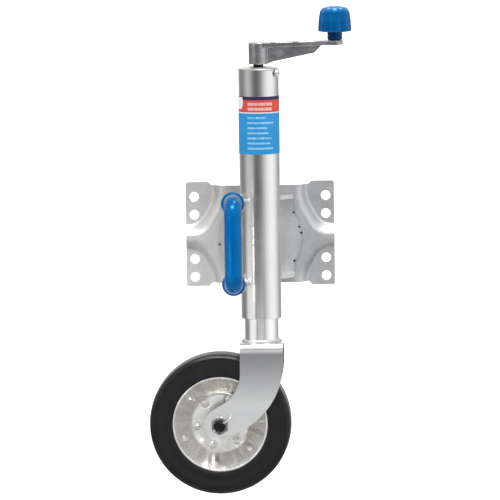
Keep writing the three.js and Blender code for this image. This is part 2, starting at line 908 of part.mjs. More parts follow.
// One arm of the fork, drawn round the axle: it sweeps back from the leg to the axle's end.
function forkArmShape() {
  const right = trail + forkWidth / 2;
  const left = trail - forkWidth / 2;
  const endX = -forkEndBack;
  const endZ = forkEndLift;
  const outerX = right - forkOuterBend;
  const outerReach = forkOuterBend - forkEndRadius;
  const outerZ = endZ + Math.sqrt(outerReach ** 2 - (outerX - endX) ** 2);
  const normal = [-Math.sin(forkSlope), Math.cos(forkSlope)];
  const innerX = left - forkInnerBend;
  const along = endX * normal[0] + endZ * normal[1] + forkEndRadius + forkInnerBend;
  const innerZ = (along - innerX * normal[0]) / normal[1];
  const meet = Math.atan2(endZ - outerZ, endX - outerX);
  const lineAngle = Math.PI / 2 + forkSlope;
  const shape = new THREE.Shape();
  shape.moveTo(left, axleDrop);
  shape.lineTo(right, axleDrop);
  shape.absarc(outerX, outerZ, forkOuterBend, 0, meet, true);
  shape.absarc(endX, endZ, forkEndRadius, meet, lineAngle - 2 * Math.PI, true);
  shape.absarc(innerX, innerZ, forkInnerBend, lineAngle - Math.PI, 0, false);
  return shape;
}

function fork() {
  const half = forkHalfOuter;
  const inside = forkInside / 2;
  const shape = forkArmShape();
  const web = block(
    [-forkWidth / 2, -half, forkTop - forkSheet],
    [forkWidth / 2, half, forkTop],
  );
  const arms = [
    upright(shape, -half, -inside, 10).translate(-trail, 0, axleZ),
    upright(shape, inside, half, 10).translate(-trail, 0, axleZ),
  ];
  const hole = drillY(axleDiameter / 2 + pinPlay, -trail, axleZ, -half - through, half + through);
  return join([web, ...arms]).subtract(solid(hole));
}

// ---------------------------------------------------------------- wheel, drawn round the axle

function axlePin() {
  const head = forkHalfOuter + gap;
  const radius = axleDiameter / 2;
  const pin = turnedY([
    [0, -(forkHalfOuter + axleEnd)],
    [radius - axleChamfer, -(forkHalfOuter + axleEnd)],
    [radius, -(forkHalfOuter + axleEnd) + axleChamfer],
    [radius, head],
    [axleHead / 2, head],
    [axleHead / 2, head + axleHeadHeight],
    [0, head + axleHeadHeight],
  ], boltSides);
  const hole = turnedZ(pinProfile(splitPinWire / 2 + pinPlay, -axleDiameter, axleDiameter), smallSides);
  return cut(pin, [placeSplitPin(hole)]);
}

// Lays a piece drawn along Z across the axle's end, at the split pin's angle.
function placeSplitPin(piece) {
  return piece.rotateY(Math.PI / 2 - splitPinAngle).translate(0, splitPinY, 0);
}

function splitPin() {
  const wire = splitPinWire / 2;
  const shank = turnedZ(pinProfile(wire, -splitPinLength / 2, splitPinLength / 2 + wire), smallSides);
  const eye = new THREE.TorusGeometry(splitPinEye, wire, 6, 12)
    .translate(splitPinLength / 2 + splitPinEye, 0, 0)
    .rotateZ(Math.PI / 2)
    .rotateX(Math.PI / 2);
  return join([placeSplitPin(shank), placeSplitPin(eye)]);
}

function axleWasher() {
  const back = -(forkHalfOuter + gap);
  return turnedY(
    ringProfile(axleWasherDiameter / 2, axleDiameter / 2 + pinPlay, back - axleWasherSheet, back),
    boltSides,
  );
}

function axleNut() {
  return hexNut(axleNutWidth, axleNutHeight, axleDiameter / 2 + pinPlay, axleNutBack - axleNutHeight);
}

// One pressed half of the rim: a flat disc at the wheel's middle, a cone and a small lip.
// side is -1 for the front half and 1 for the rear half.
function rimHalf(side) {
  const edge = rimDiameter / 2;
  const hole = wheelHubDiameter / 2 + gap;
  const lip = edge - rimLip;
  const points = [
    [hole, gap / 2],
    [rimDiscRadius + rimSheet * rimConeShift, gap / 2],
    [lip + rimSheet * rimLipTuck, rimDepth - rimSheet],
    [edge, rimDepth - rimSheet],
    [edge, rimDepth],
    [lip, rimDepth],
    [rimDiscRadius, gap / 2 + rimSheet],
    [hole, gap / 2 + rimSheet],
    [hole, gap / 2],
  ];
  const profile = side > 0 ? points : points.map(([radius, y]) => [radius, -y]).reverse();
  return cut(turnedY(profile, tubeSides), rivetPlaces().map(([x, z]) => drillY(
    rivetDiameter / 2 + pinPlay,
    x,
    z,
    -rimDepth,
    rimDepth,
    smallSides,
  )));
}

function rivetPlaces() {
  return Array.from({ length: rivetCount }, (_, i) => {
    const angle = rivetPhase + (i / rivetCount) * 2 * Math.PI;
    return [rivetCircle * Math.cos(angle), rivetCircle * Math.sin(angle)];
  });
}

// A solid tyre: a V-shaped root held between the two cones, and a rounded tread.
function tyre() {
  const half = tyreWidth / 2;
  const outer = wheelDiameter / 2;
  const edge = rimDiameter / 2;
  const coneRun = edge - rimLip - rimDiscRadius;
  const lift = tyreFit * Math.hypot(coneRun, rimDepth) / rimDepth + rimSheet * rimConeShift;
  const side = [
    [rimDiscRadius + lift + rimSheet, rimSheet * tyreRoot],
    [edge - rimLip + rimSheet * rimLipTuck + tyreFit, rimDepth - rimSheet - tyreFit],
    [edge + tyreFit, rimDepth - rimSheet - tyreFit],
    [edge + tyreFit, rimDepth + tyreFit],
    [edge + tyreBulge, half - tyreBulge / 2],
    [edge + 2 * tyreShoulder, half],
    [outer - tyreShoulder, half - tyreBulge / 2],
    [outer - tyreShoulder / 3, half - tyreShoulder],
  ];
  const profile = [
    ...side.map(([radius, y]) => [radius, -y]),
    [outer, 0],
    ...[...side].reverse(),
    [side[0][0], -side[0][1]],
  ];
  return turnedY(profile, tubeSides);
}

function wheelHub() {
  const half = wheelHubLength / 2;
  return turnedY(
    ringProfile(wheelHubDiameter / 2, axleDiameter / 2 + pinPlay + wheelBushWall + gap, -half, half),
    boltSides,
  );
}

// A flanged bush in one end of the hub; side is -1 at the front and 1 at the rear.
function wheelBush(side) {
  const bore = axleDiameter / 2 + pinPlay;
  const end = wheelHubLength / 2 + gap;
  const points = [
    [bore, end - wheelBushLength],
    [bore + wheelBushWall, end - wheelBushLength],
    [bore + wheelBushWall, end],
    [wheelHubDiameter / 2 - wheelBushInset, end],
    [wheelHubDiameter / 2 - wheelBushInset, end + wheelBushFlange],
    [bore, end + wheelBushFlange],
    [bore, end - wheelBushLength],
  ];
  const profile = side > 0 ? points : points.map(([radius, y]) => [radius, -y]).reverse();
  return turnedY(profile, boltSides);
}

// A rivet through both rim halves, with a dome at each end.
function wheelRivet() {
  const seat = gap / 2 + rimSheet + gap;
  const head = rivetHead / 2;
  const half = [
    [rivetDiameter / 2, seat],
    [head, seat],
    [head * 0.85, seat + rivetHeadHeight * 0.6],
    [0, seat + rivetHeadHeight],
  ];
  return turnedY([...half.map(([radius, y]) => [radius, -y]).reverse(), ...half], 10);
}

// ---------------------------------------------------------------- assembly

const model = new THREE.Group();
const leg = new THREE.Group();
leg.position.set(0, -legForward, 0);
const knob = new THREE.Group();
knob.position.set(crankReach, 0, 0);
const caster = new THREE.Group();
caster.rotation.z = casterTurn;
const wheel = new THREE.Group();
wheel.position.set(-trail, 0, axleZ);
caster.add(wheel);
leg.add(knob, caster);
model.add(leg);

function add(parent, name, shape, look, place = [0, 0, 0]) {
  const geometry = shape instanceof THREE.BufferGeometry ? surface(solid(shape)) : surface(shape);
  const mesh = new THREE.Mesh(geometry, new THREE.MeshStandardMaterial(finish[look]));
  mesh.name = name;
  mesh.position.set(...place);
  parent.add(mesh);
}

add(model, 'mounting_plate', mountingPlate(), 'galvanised');
add(model, 'pivot_bolt', pivotBolt(), 'zinc');
add(model, 'pivot_washer', pivotWasher(), 'zinc');
add(model, 'pivot_nut', pivotNut(), 'zinc');
add(model, 'thrust_washer', thrustWasher(), 'bronze');

add(model, 'swivel_bracket', swivelBracket(), 'galvanised');
add(leg, 'outer_tube', outerTube(), 'galvanised');
add(leg, 'tube_cap', tubeCap(), 'zinc');
add(leg, 'cap_bush', capBush(), 'bronze');
add(leg, 'cap_rivet', capRivet(), 'zinc');
add(leg, 'thrust_bearing', thrustBearing(), 'steel');
add(leg, 'guide_bush', guideBush(), 'nylon');
add(leg, 'label', label(), 'print');
add(model, 'handle_lug_upper', handleLug(handleTop), 'galvanised');
add(model, 'handle_lug_lower', handleLug(handleBottom), 'galvanised');

add(model, 'handle_grip', handleGrip(), 'blue');
add(model, 'lock_bar', lockBar(), 'zinc');
for (const [name, rodZ, pinZ] of [['upper', handleTop, lockPinSpread], ['lower', handleBottom, -lockPinSpread]]) {
  add(model, `pull_rod_${name}`, pullRod(rodZ), 'zinc');
  add(model, `rod_nut_${name}`, rodNut(rodZ), 'zinc');
  add(model, `lock_pin_${name}`, lockPin(pinZ), 'zinc');
  add(model, `lock_spring_${name}`, lockSpring(rodZ), 'steel');
}

add(leg, 'crank_arm', crankArm(), 'cast');
add(leg, 'crank_roll_pin', crankRollPin(), 'steel');
add(leg, 'lead_screw', leadScrew(), 'steel');
add(leg, 'screw_collar', screwCollar(), 'steel');
add(leg, 'knob_pin', knobPin(), 'steel');
add(knob, 'crank_knob', crankKnob(), 'blue');
add(knob, 'knob_neck', knobNeck(), 'navy');

add(leg, 'drive_nut', driveNut(), 'bronze');
add(caster, 'inner_tube', innerTube(), 'zinc');
add(caster, 'fork', fork(), 'galvanised');
add(wheel, 'axle_pin', axlePin(), 'black');
add(wheel, 'axle_washer', axleWasher(), 'black');
add(wheel, 'axle_nut', axleNut(), 'black');
add(wheel, 'split_pin', splitPin(), 'zinc');
add(wheel, 'tyre', tyre(), 'rubber');
add(wheel, 'rim_front', rimHalf(-1), 'zinc');
add(wheel, 'rim_rear', rimHalf(1), 'zinc');
add(wheel, 'wheel_hub', wheelHub(), 'zinc');
add(wheel, 'wheel_bush_front', wheelBush(-1), 'nylon');
add(wheel, 'wheel_bush_rear', wheelBush(1), 'nylon');
rivetPlaces().forEach(([x, z], i) => {
  add(wheel, `wheel_rivet_${i + 1}`, wheelRivet(), 'zinc', [x, 0, z]);
});

export default model;
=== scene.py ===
"""Looks of the swing-up jockey stand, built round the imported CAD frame."""

import math
from math import atan2, cos, hypot, pi, radians, sin, sqrt

import bmesh
import bpy
from mathutils import Matrix, Vector


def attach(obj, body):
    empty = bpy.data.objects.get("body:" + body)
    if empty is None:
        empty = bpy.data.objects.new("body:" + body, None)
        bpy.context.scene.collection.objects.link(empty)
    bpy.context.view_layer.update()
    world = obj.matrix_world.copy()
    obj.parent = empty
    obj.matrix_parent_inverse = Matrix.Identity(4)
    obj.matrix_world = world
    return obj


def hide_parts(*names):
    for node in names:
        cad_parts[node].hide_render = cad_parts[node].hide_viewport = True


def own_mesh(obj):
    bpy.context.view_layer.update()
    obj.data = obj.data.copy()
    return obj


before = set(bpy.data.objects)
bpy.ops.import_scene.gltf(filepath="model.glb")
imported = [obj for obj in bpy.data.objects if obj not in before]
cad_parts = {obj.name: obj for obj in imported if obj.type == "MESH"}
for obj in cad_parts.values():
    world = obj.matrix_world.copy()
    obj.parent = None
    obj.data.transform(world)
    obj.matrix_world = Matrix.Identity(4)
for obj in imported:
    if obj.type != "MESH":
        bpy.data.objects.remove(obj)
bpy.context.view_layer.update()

MM = 0.001

# Sizes in millimetres, the same as the CAD's
LEG_Y = -60
TUBE_R = 28.5
TUBE_BORE = 25.5
TUBE_ROOM = 28.8
TUBE_TOP = 240.8
TUBE_BOTTOM = -109.6
INNER_R = 24
INNER_BORE = 21.5
INNER_TOP = 168.8
FORK_TOP = -143
FORK_HALF = 33
FORK_SHEET = 5
FORK_WIDTH = 60.6
TRAIL = 59.3
AXLE_DROP = 115
AXLE_Z = FORK_TOP - AXLE_DROP
AXLE_BORE = 7.85
SCREW_BORE = 7.35
HANDLE_X = -38.5
HANDLE_TOP = 54
HANDLE_BOTTOM = -59.7
LUG_FRONT = -76
COLLAR_BACK = -80
GRIP_Y = -107.5
BAR_FRONT = -40
BAR_BACK = -34
LOCK_PIN_Z = 26
WEB_FRONT = -25
WEB_BACK = -20
PLATE_FRONT = -18
PLATE_SHEET = 4
PIVOT_BORE = 10.35
CAP_TOP = 244.7
HUB_BOTTOM = 248
HUB_TOP = 278.3
CRANK_REACH = 107.7
CRANK_RISE = 1.6
ARM_TOP = HUB_TOP + CRANK_RISE
KNOB_BOTTOM = 292.5
KNOB_HEIGHT = 35.8

HERE = Matrix.Identity(4)
LEG = Matrix.Translation((0, LEG_Y * MM, 0))
CASTER = LEG @ Matrix.Rotation(radians(-2.2), 4, "Z")
WHEEL = CASTER @ Matrix.Translation((-TRAIL * MM, 0, AXLE_Z * MM))


# ------------------------------------------------------------------ mesh helpers, in millimetres

def soften(points, closed=False, step=9):
    """A polyline with every corner rounded by its third value."""
    out = []
    count = len(points)
    for i, p in enumerate(points):
        here = Vector(p[:2])
        radius = p[2] if len(p) > 2 else 0
        if radius <= 0 or (not closed and i in (0, count - 1)):
            out.append(tuple(here))
            continue
        a = Vector(points[i - 1][:2]) - here
        b = Vector(points[(i + 1) % count][:2]) - here
        room = min(a.length, b.length) * 0.49
        a.normalize()
        b.normalize()
        half = a.angle(b) / 2
        if half > pi / 2 - 0.01:
            out.append(tuple(here))
            continue
        run = min(radius / math.tan(half), room)
        centre = here + (a + b).normalized() * (run / cos(half))
        start, end = here + a * run - centre, here + b * run - centre
        sweep = atan2(start.cross(end), start.dot(end))
        steps = max(2, math.ceil(abs(math.degrees(sweep)) / step))
        for k in range(steps + 1):
            turn = sweep * k / steps
            out.append((
                centre.x + start.x * cos(turn) - start.y * sin(turn),
                centre.y + start.x * sin(turn) + start.y * cos(turn),
            ))
    return out


def build(verts, faces):
    bm = bmesh.new()
    made = [bm.verts.new(v) for v in verts]
    for face in faces:
        bm.faces.new([made[i] for i in face])
    bmesh.ops.remove_doubles(bm, verts=bm.verts, dist=1e-4)
    bmesh.ops.recalc_face_normals(bm, faces=bm.faces)
    mesh = bpy.data.meshes.new("work")
    bm.to_mesh(mesh)
    bm.free()
    obj = bpy.data.objects.new("work", mesh)
    bpy.context.scene.collection.objects.link(obj)
    return obj


def strips(rows, loop=True):
    """Faces between rows of vertex numbers; a row of one number is a pole."""
    faces = []
    for a, b in zip(rows, rows[1:]):
        count = max(len(a), len(b))
        for k in range(count if loop else count - 1):
            n = (k + 1) % count
            if len(a) == 1 and len(b) == 1:
                continue
            if len(a) == 1:
                faces.append((a[0], b[n], b[k]))
            elif len(b) == 1:
                faces.append((a[k], a[n], b[0]))
            else:
                faces.append((a[k], a[n], b[n], b[k]))
    return faces


def lathe(profile, axis="Z", sides=96, ring=False, warp=None):
    """Turns a profile of (radius, height, rounding) about an axis."""
    points = soften(profile, closed=ring)
    verts, rows = [], []
    for radius, height in points:
        if radius < 1e-6:
            rows.append([len(verts)])
            verts.append((0, 0, height))
            continue
        rows.append(list(range(len(verts), len(verts) + sides)))
        for k in range(sides):
            angle = 2 * pi * k / sides
            r, h = warp(radius, height, angle) if warp else (radius, height)
            verts.append((r * cos(angle), r * sin(angle), h))
    if ring:
        rows.append(rows[0])
    if axis == "Y":
        verts = [(x, z, y) for x, y, z in verts]
    return build(verts, strips(rows))


def prism(points, low, high, axis="Y", closed=True):
    """An outline of (a, b, rounding) points, thick along one axis."""
    flat = soften(points, closed=closed)
    place = {
        "X": lambda a, b, t: (t, a, b),
        "Y": lambda a, b, t: (a, t, b),
        "Z": lambda a, b, t: (a, b, t),
    }[axis]
    count = len(flat)
    verts = [place(a, b, low) for a, b in flat] + [place(a, b, high) for a, b in flat]
    faces = [tuple(range(count)), tuple(range(2 * count - 1, count - 1, -1))]
    faces += [(k, (k + 1) % count, count + (k + 1) % count, count + k) for k in range(count)]
    return build(verts, faces)


def sweep(path, radius, sides=32, closed=False, flat=1.0):
    """A round bar along a path; radius is a number or a list, one for each point."""
    points = [Vector(p) for p in path]
    count = len(points)
    radii = radius if isinstance(radius, list) else [radius] * count
    ahead = []
    for i in range(count):
        before = points[i - 1] if (closed or i > 0) else points[i]
        after = points[(i + 1) % count] if (closed or i < count - 1) else points[i]
        ahead.append((after - before).normalized())
    side = ahead[0].orthogonal().normalized()
    verts, rows = [], []
    for p, d, r in zip(points, ahead, radii):
        side = (side - d * side.dot(d)).normalized()
        up = d.cross(side)
        rows.append(list(range(len(verts), len(verts) + sides)))
        for k in range(sides):
            angle = 2 * pi * k / sides
            verts.append(p + side * (r * cos(angle)) + up * (r * flat * sin(angle)))
    if closed:
        last = rows[-1]
        first = [Vector(verts[i]) for i in rows[0]]
        shift = min(range(sides), key=lambda s: (first[s] - Vector(verts[last[0]])).length)
        rows.append([rows[0][(k + shift) % sides] for k in range(sides)])
        return build(verts, strips(rows))
    start, end = len(verts), len(verts) + 1
    verts += [points[0], points[-1]]
    return build(verts, strips([[start], *rows, [end]]))


def bake(obj):
    graph = bpy.context.evaluated_depsgraph_get()
    mesh = bpy.data.meshes.new_from_object(obj.evaluated_get(graph))
    obj.modifiers.clear()
    obj.data = mesh
    return obj


def combine(obj, tools, how):
    """Joins, cuts or intersects obj with each tool in turn."""
    for tool in tools:
        step = obj.modifiers.new("combine", "BOOLEAN")
        step.operation = how
        step.solver = "EXACT"
        step.object = tool
        bake(obj)
        bpy.data.objects.remove(tool)
    return obj


def bevel(obj, width, segments=2, angle=40):
    step = obj.modifiers.new("bevel", "BEVEL")
    step.width = width
    step.segments = segments
    step.limit_method = "ANGLE"
    step.angle_limit = radians(angle)
    return bake(obj)


def remesh(obj, voxel, smooth):
    step = obj.modifiers.new("remesh", "REMESH")
    step.mode = "VOXEL"
    step.voxel_size = voxel
    step = obj.modifiers.new("smooth", "SMOOTH")
    step.iterations = smooth
    return bake(obj)


def moved(obj, x=0, y=0, z=0):
    obj.data.transform(Matrix.Translation((x, y, z)))
    return obj


def turned(obj, degrees, axis):
    obj.data.transform(Matrix.Rotation(radians(degrees), 4, axis))
    return obj


def joined(objects):
    """Several loose shapes in one mesh."""
    bm = bmesh.new()
    for obj in objects:
        bm.from_mesh(obj.data)
    bm.to_mesh(objects[0].data)
    bm.free()
    for obj in objects[1:]:
        bpy.data.objects.remove(obj)
    return objects[0]


def piece(obj, name, body, look, nodes=(), at=HERE, sharp=32):
    """Names a finished shape, gives it its material and rides it on its CAD body."""
    obj.name = name
    obj.data.name = name
    obj.data.transform(Matrix.Scale(MM, 4))
    obj.matrix_world = at
    obj.data.materials.clear()
    obj.data.materials.append(look)
    obj.data.shade_smooth()
    obj.data.set_sharp_from_angle(angle=radians(sharp))
    weights = obj.modifiers.new("weights", "WEIGHTED_NORMAL")
    weights.keep_sharp = True
    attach(obj, body)
    if nodes:
        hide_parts(*([nodes] if isinstance(nodes, str) else nodes))
    return obj


def drill(radius, x, z, front, back, chamfer=0.35, sides=48):
    """A cutter along Y that leaves a small chamfer at both faces, at y front and back."""
    beyond = 3
    shape = lathe([
        (0, front - beyond),
        (radius + chamfer + beyond, front - beyond),
        (radius, front + chamfer),
        (radius, back - chamfer),
        (radius + chamfer + beyond, back + beyond),
        (0, back + beyond),
    ], "Y", sides)
    return moved(shape, x, 0, z)


def plain_drill(radius, x, z, front, back, sides=48):
    shape = lathe([(0, front), (radius, front), (radius, back), (0, back)], "Y", sides)
    return moved(shape, x, 0, z)


# ------------------------------------------------------------------ materials

class Look:
    """A node material: a Principled shader, and short ways to make the nodes that feed it."""

    def __init__(self, name, slot, **constants):
        self.material = bpy.data.materials.new(name)
        self.material.use_nodes = True
        self.material["slot"] = slot
        self.tree = self.material.node_tree
        self.shader = self.tree.nodes["Principled BSDF"]
        for key, value in constants.items():
            self.shader.inputs[key.replace("_", " ")].default_value = value
        self.coords = self.tree.nodes.new("ShaderNodeTexCoord").outputs["Object"]

    def link(self, source, socket):
        self.tree.links.new(source, socket)

    def node(self, kind, inputs=None, **settings):
        made = self.tree.nodes.new(kind)
        for key, value in settings.items():
            setattr(made, key, value)
        for key, value in (inputs or {}).items():
            if isinstance(value, bpy.types.NodeSocket):
                self.link(value, made.inputs[key])
            else:
                made.inputs[key].default_value = value
        return made

    def math(self, how, a, b=0.0, clamp=False):
        return self.node("ShaderNodeMath", {0: a, 1: b}, operation=how, use_clamp=clamp).outputs[0]

    def times(self, a, b):
        return self.math("MULTIPLY", a, b)

    def plus(self, a, b, clamp=False):
        return self.math("ADD", a, b, clamp)

    def stretched(self, scale):
        return self.node("ShaderNodeMapping", {"Vector": self.coords, "Scale": scale}).outputs[0]

    def noise(self, scale, detail=3.0, rough=0.5, vector=None):
        inputs = {
            "Vector": vector or self.coords,
            "Scale": scale,
            "Detail": detail,
            "Roughness": rough,
        }
        return self.node("ShaderNodeTexNoise", inputs).outputs["Fac"]

    def cells(self, scale):
        return self.node("ShaderNodeTexVoronoi", {"Vector": self.coords, "Scale": scale})

    def span(self, value, low, high, to_low=0.0, to_high=1.0):
        inputs = {"Value": value, "From Min": low, "From Max": high, "To Min": to_low, "To Max": to_high}
        return self.node("ShaderNodeMapRange", inputs).outputs["Result"]

    def mix(self, factor, a, b):
        made = self.node("ShaderNodeMix", {"Factor": factor}, data_type="RGBA")
        for socket, value in (("A", a), ("B", b)):
            target = next(i for i in made.inputs if i.name == socket and i.type == "RGBA")
            if isinstance(value, bpy.types.NodeSocket):
                self.link(value, target)
            else:
                target.default_value = (*value, 1)
        return next(o for o in made.outputs if o.type == "RGBA")

    def bump(self, height, distance, strength=1.0):
        inputs = {"Height": height, "Distance": distance, "Strength": strength}
        self.link(self.node("ShaderNodeBump", inputs).outputs[0], self.shader.inputs["Normal"])

    def colour(self, value):
        self.link(value, self.shader.inputs["Base Color"])

    def roughness(self, value):
        self.link(value, self.shader.inputs["Roughness"])


def metal(name, slot, dark, light, rough, fine=900, blotch=28, streak=None, spangle=0.0, grain=0.00002):
    """Bare or plated metal: soft blotches, fine grain, and streaks or spangle where asked."""
    look = Look(name, slot, Metallic=1.0)
    blotches = look.noise(blotch, 4, 0.6)
    tone = look.span(blotches, 0.3, 0.7)
    grit = look.noise(fine, 3, 0.6)
    if spangle:
        cell = look.node("ShaderNodeSeparateColor", {"Color": look.cells(230).outputs["Color"]}).outputs[0]
        tone = look.plus(look.times(tone, 1 - spangle), look.times(cell, spangle))
    height = grit
    if streak:
        lines = look.noise(1.0, 5, 0.65, look.stretched(streak))
        tone = look.plus(look.times(tone, 0.5), look.times(lines, 0.5))
        height = look.plus(look.times(grit, 0.4), look.times(lines, 0.6))
    tone = look.plus(tone, look.times(look.math("SUBTRACT", grit, 0.5), 0.35), True)
    look.colour(look.mix(tone, dark, light))
    worn = look.plus(look.times(blotches, 0.6), look.times(grit, 0.4))
    look.roughness(look.span(worn, 0.3, 0.7, *rough))
    look.bump(height, grain)
    return look


def plastic(name, slot, deep, light, rough, **constants):
    look = Look(name, slot, **constants)
    cloud = look.noise(35, 3, 0.5)
    grain = look.noise(1400, 2, 0.5)
    look.colour(look.mix(look.span(cloud, 0.3, 0.7), deep, light))
    scuff = look.noise(1.0, 4, 0.7, look.stretched((260, 260, 40)))
    look.roughness(look.span(scuff, 0.35, 0.75, *rough))
    look.bump(look.plus(look.times(grain, 0.3), look.noise(120, 2)), 0.00004, 0.6)
    return look.material


galvanised = metal(
    "satin_galvanised", "galvanised_steel", (0.60, 0.61, 0.615), (0.72, 0.725, 0.73), (0.36, 0.48),
    spangle=0.3,
).material


def plate_look():
    """Dip-galvanised sheet, with painted warm light that makes it pale at one side and leaves it cooler at
    the other.
    """
    look = metal(
        "dipped_galvanised", "galvanised_steel", (0.52, 0.525, 0.535), (0.63, 0.635, 0.64), (0.42, 0.54),
        spangle=0.3,
    )
    across = look.node("ShaderNodeSeparateXYZ", {"Vector": look.coords}).outputs["X"]
    base = look.shader.inputs["Base Color"].links[0].from_socket
    # Painted light: towards its left end the plate's colour goes warm and pale, as if a warm lamp stood at
    # the left.
    painted_left_light = look.times(look.span(across, -0.02, -0.09), 0.35)
    look.colour(look.mix(painted_left_light, base, (0.93, 0.91, 0.88)))
    return look.material


plate_metal = plate_look()
tube_metal = metal(
    "smooth_galvanised", "galvanised_steel", (0.72, 0.72, 0.72), (0.80, 0.80, 0.80), (0.21, 0.27),
    streak=(260, 260, 5), blotch=18, grain=0.000012,
).material


def fork_look():
    """Galvanised sheet, with painted shade in a band just below the bend that fades out further down."""
    look = metal(
        "brushed_galvanised", "galvanised_steel", (0.66, 0.66, 0.66), (0.78, 0.78, 0.78), (0.2, 0.29),
        streak=(30, 260, 90), blotch=24,
    )
    top = FORK_TOP * MM
    height = look.node("ShaderNodeSeparateXYZ", {"Vector": look.coords}).outputs["Z"]
    base = look.shader.inputs["Base Color"].links[0].from_socket
    # Painted shade: from 10 mm below the fork's top the colour darkens, most from 15 to 18 mm down, and fades
    # out by 85 mm down.
    begin = look.span(height, top - 0.010, top - 0.015)
    fade = look.span(height, top - 0.085, top - 0.018)
    look.colour(look.mix(look.times(look.times(begin, fade), 0.8), base, (0.2, 0.2, 0.205)))
    return look.material


fork_metal = fork_look()
inner_metal = metal(
    "bright_zinc_tube", "zinc_plate", (0.82, 0.82, 0.82), (0.90, 0.90, 0.90), (0.22, 0.28),
    streak=(200, 200, 8), grain=0.00001,
).material
zinc = metal(
    "bright_zinc", "zinc_plate", (0.62, 0.61, 0.58), (0.80, 0.79, 0.76), (0.2, 0.36), blotch=60,
).material
cast = metal(
    "cast_steel", "cast_steel", (0.27, 0.27, 0.28), (0.48, 0.48, 0.49), (0.26, 0.4), fine=500, blotch=70,
    grain=0.00005,
).material
steel = metal(
    "plain_steel", "plain_steel", (0.36, 0.36, 0.37), (0.52, 0.52, 0.53), (0.25, 0.42), blotch=90,
).material
dark_steel = metal(
    "black_oxide", "black_steel", (0.012, 0.012, 0.013), (0.035, 0.035, 0.037), (0.32, 0.5), blotch=120,
).material
nut_metal = metal(
    "dark_nut", "black_steel", (0.14, 0.14, 0.145), (0.30, 0.30, 0.31), (0.25, 0.4), blotch=160,
).material
bronze = metal(
    "bronze", "bronze", (0.34, 0.21, 0.08), (0.52, 0.35, 0.16), (0.28, 0.45), blotch=80,
).material
blue = plastic(
    "glossy_blue_plastic", "blue_plastic", (0.0, 0.050, 0.165), (0.0, 0.066, 0.21), (0.1, 0.2),
    Specular_IOR_Level=0.55, Specular_Tint=(0.1, 0.55, 0.9, 1.0),
)
# Painted shade: this navy is a darker copy of the knob's blue plastic, for the shade on the neck under the
# knob.
navy = plastic(
    "navy_plastic", "navy_plastic", (0.0, 0.012, 0.055), (0.001, 0.018, 0.08), (0.15, 0.3),
    Specular_Tint=(0.2, 0.7, 1.0, 1.0),
)
nylon = plastic("white_nylon", "nylon", (0.62, 0.6, 0.54), (0.74, 0.72, 0.66), (0.4, 0.6))


def rubber_look():
    look = Look("black_rubber", "tyre_rubber", Specular_IOR_Level=0.3)
    dust = look.noise(26, 5, 0.65)
    grain = look.noise(1500, 3, 0.6)
    look.colour(look.mix(look.span(dust, 0.4, 0.8), (0.0022, 0.0022, 0.003), (0.006, 0.006, 0.0068)))
    look.roughness(look.span(dust, 0.3, 0.7, 0.28, 0.42))
    look.bump(look.plus(grain, look.times(look.noise(90, 3), 2.0)), 0.00004)
    return look.material


def rim_look():
    """Pressed zinc-plated sheet, its cone streaked light and dark in bands that run out from the hub, the
    rest cloudy.
    """
    look = Look("pressed_zinc", "zinc_plate", Metallic=1.0)
    parts = look.node("ShaderNodeSeparateXYZ", {"Vector": look.coords}).outputs
    angle = look.math("ARCTAN2", parts["Z"], parts["X"])
    squares = [look.times(parts[name], parts[name]) for name in "XZ"]
    radius = look.math("SQRT", look.plus(*squares))
    cone = look.span(radius, 0.040, 0.046)
    around = look.node("ShaderNodeCombineXYZ", {
        "X": look.math("COSINE", angle), "Y": look.math("SINE", angle), "Z": look.times(radius, 6.0),
    }).outputs[0]
    broad = look.noise(4.2, 1, 0.4, around)
    narrow = look.noise(26, 3, 0.5, around)
    cloud = look.noise(60, 4, 0.6)
    streak = look.plus(look.times(broad, 0.6), look.times(narrow, 0.4))
    pattern = look.plus(look.times(streak, cone),
                        look.times(cloud, look.math("SUBTRACT", 1.0, cone)))
    look.colour(look.mix(look.span(pattern, 0.3, 0.7), (0.62, 0.605, 0.575), (0.95, 0.94, 0.915)))
    look.roughness(look.span(pattern, 0.3, 0.7, 0.36, 0.24))
    height = look.plus(look.times(look.times(broad, cone), 12.0), narrow)
    look.bump(height, 0.00016, 0.8)
    return look.material


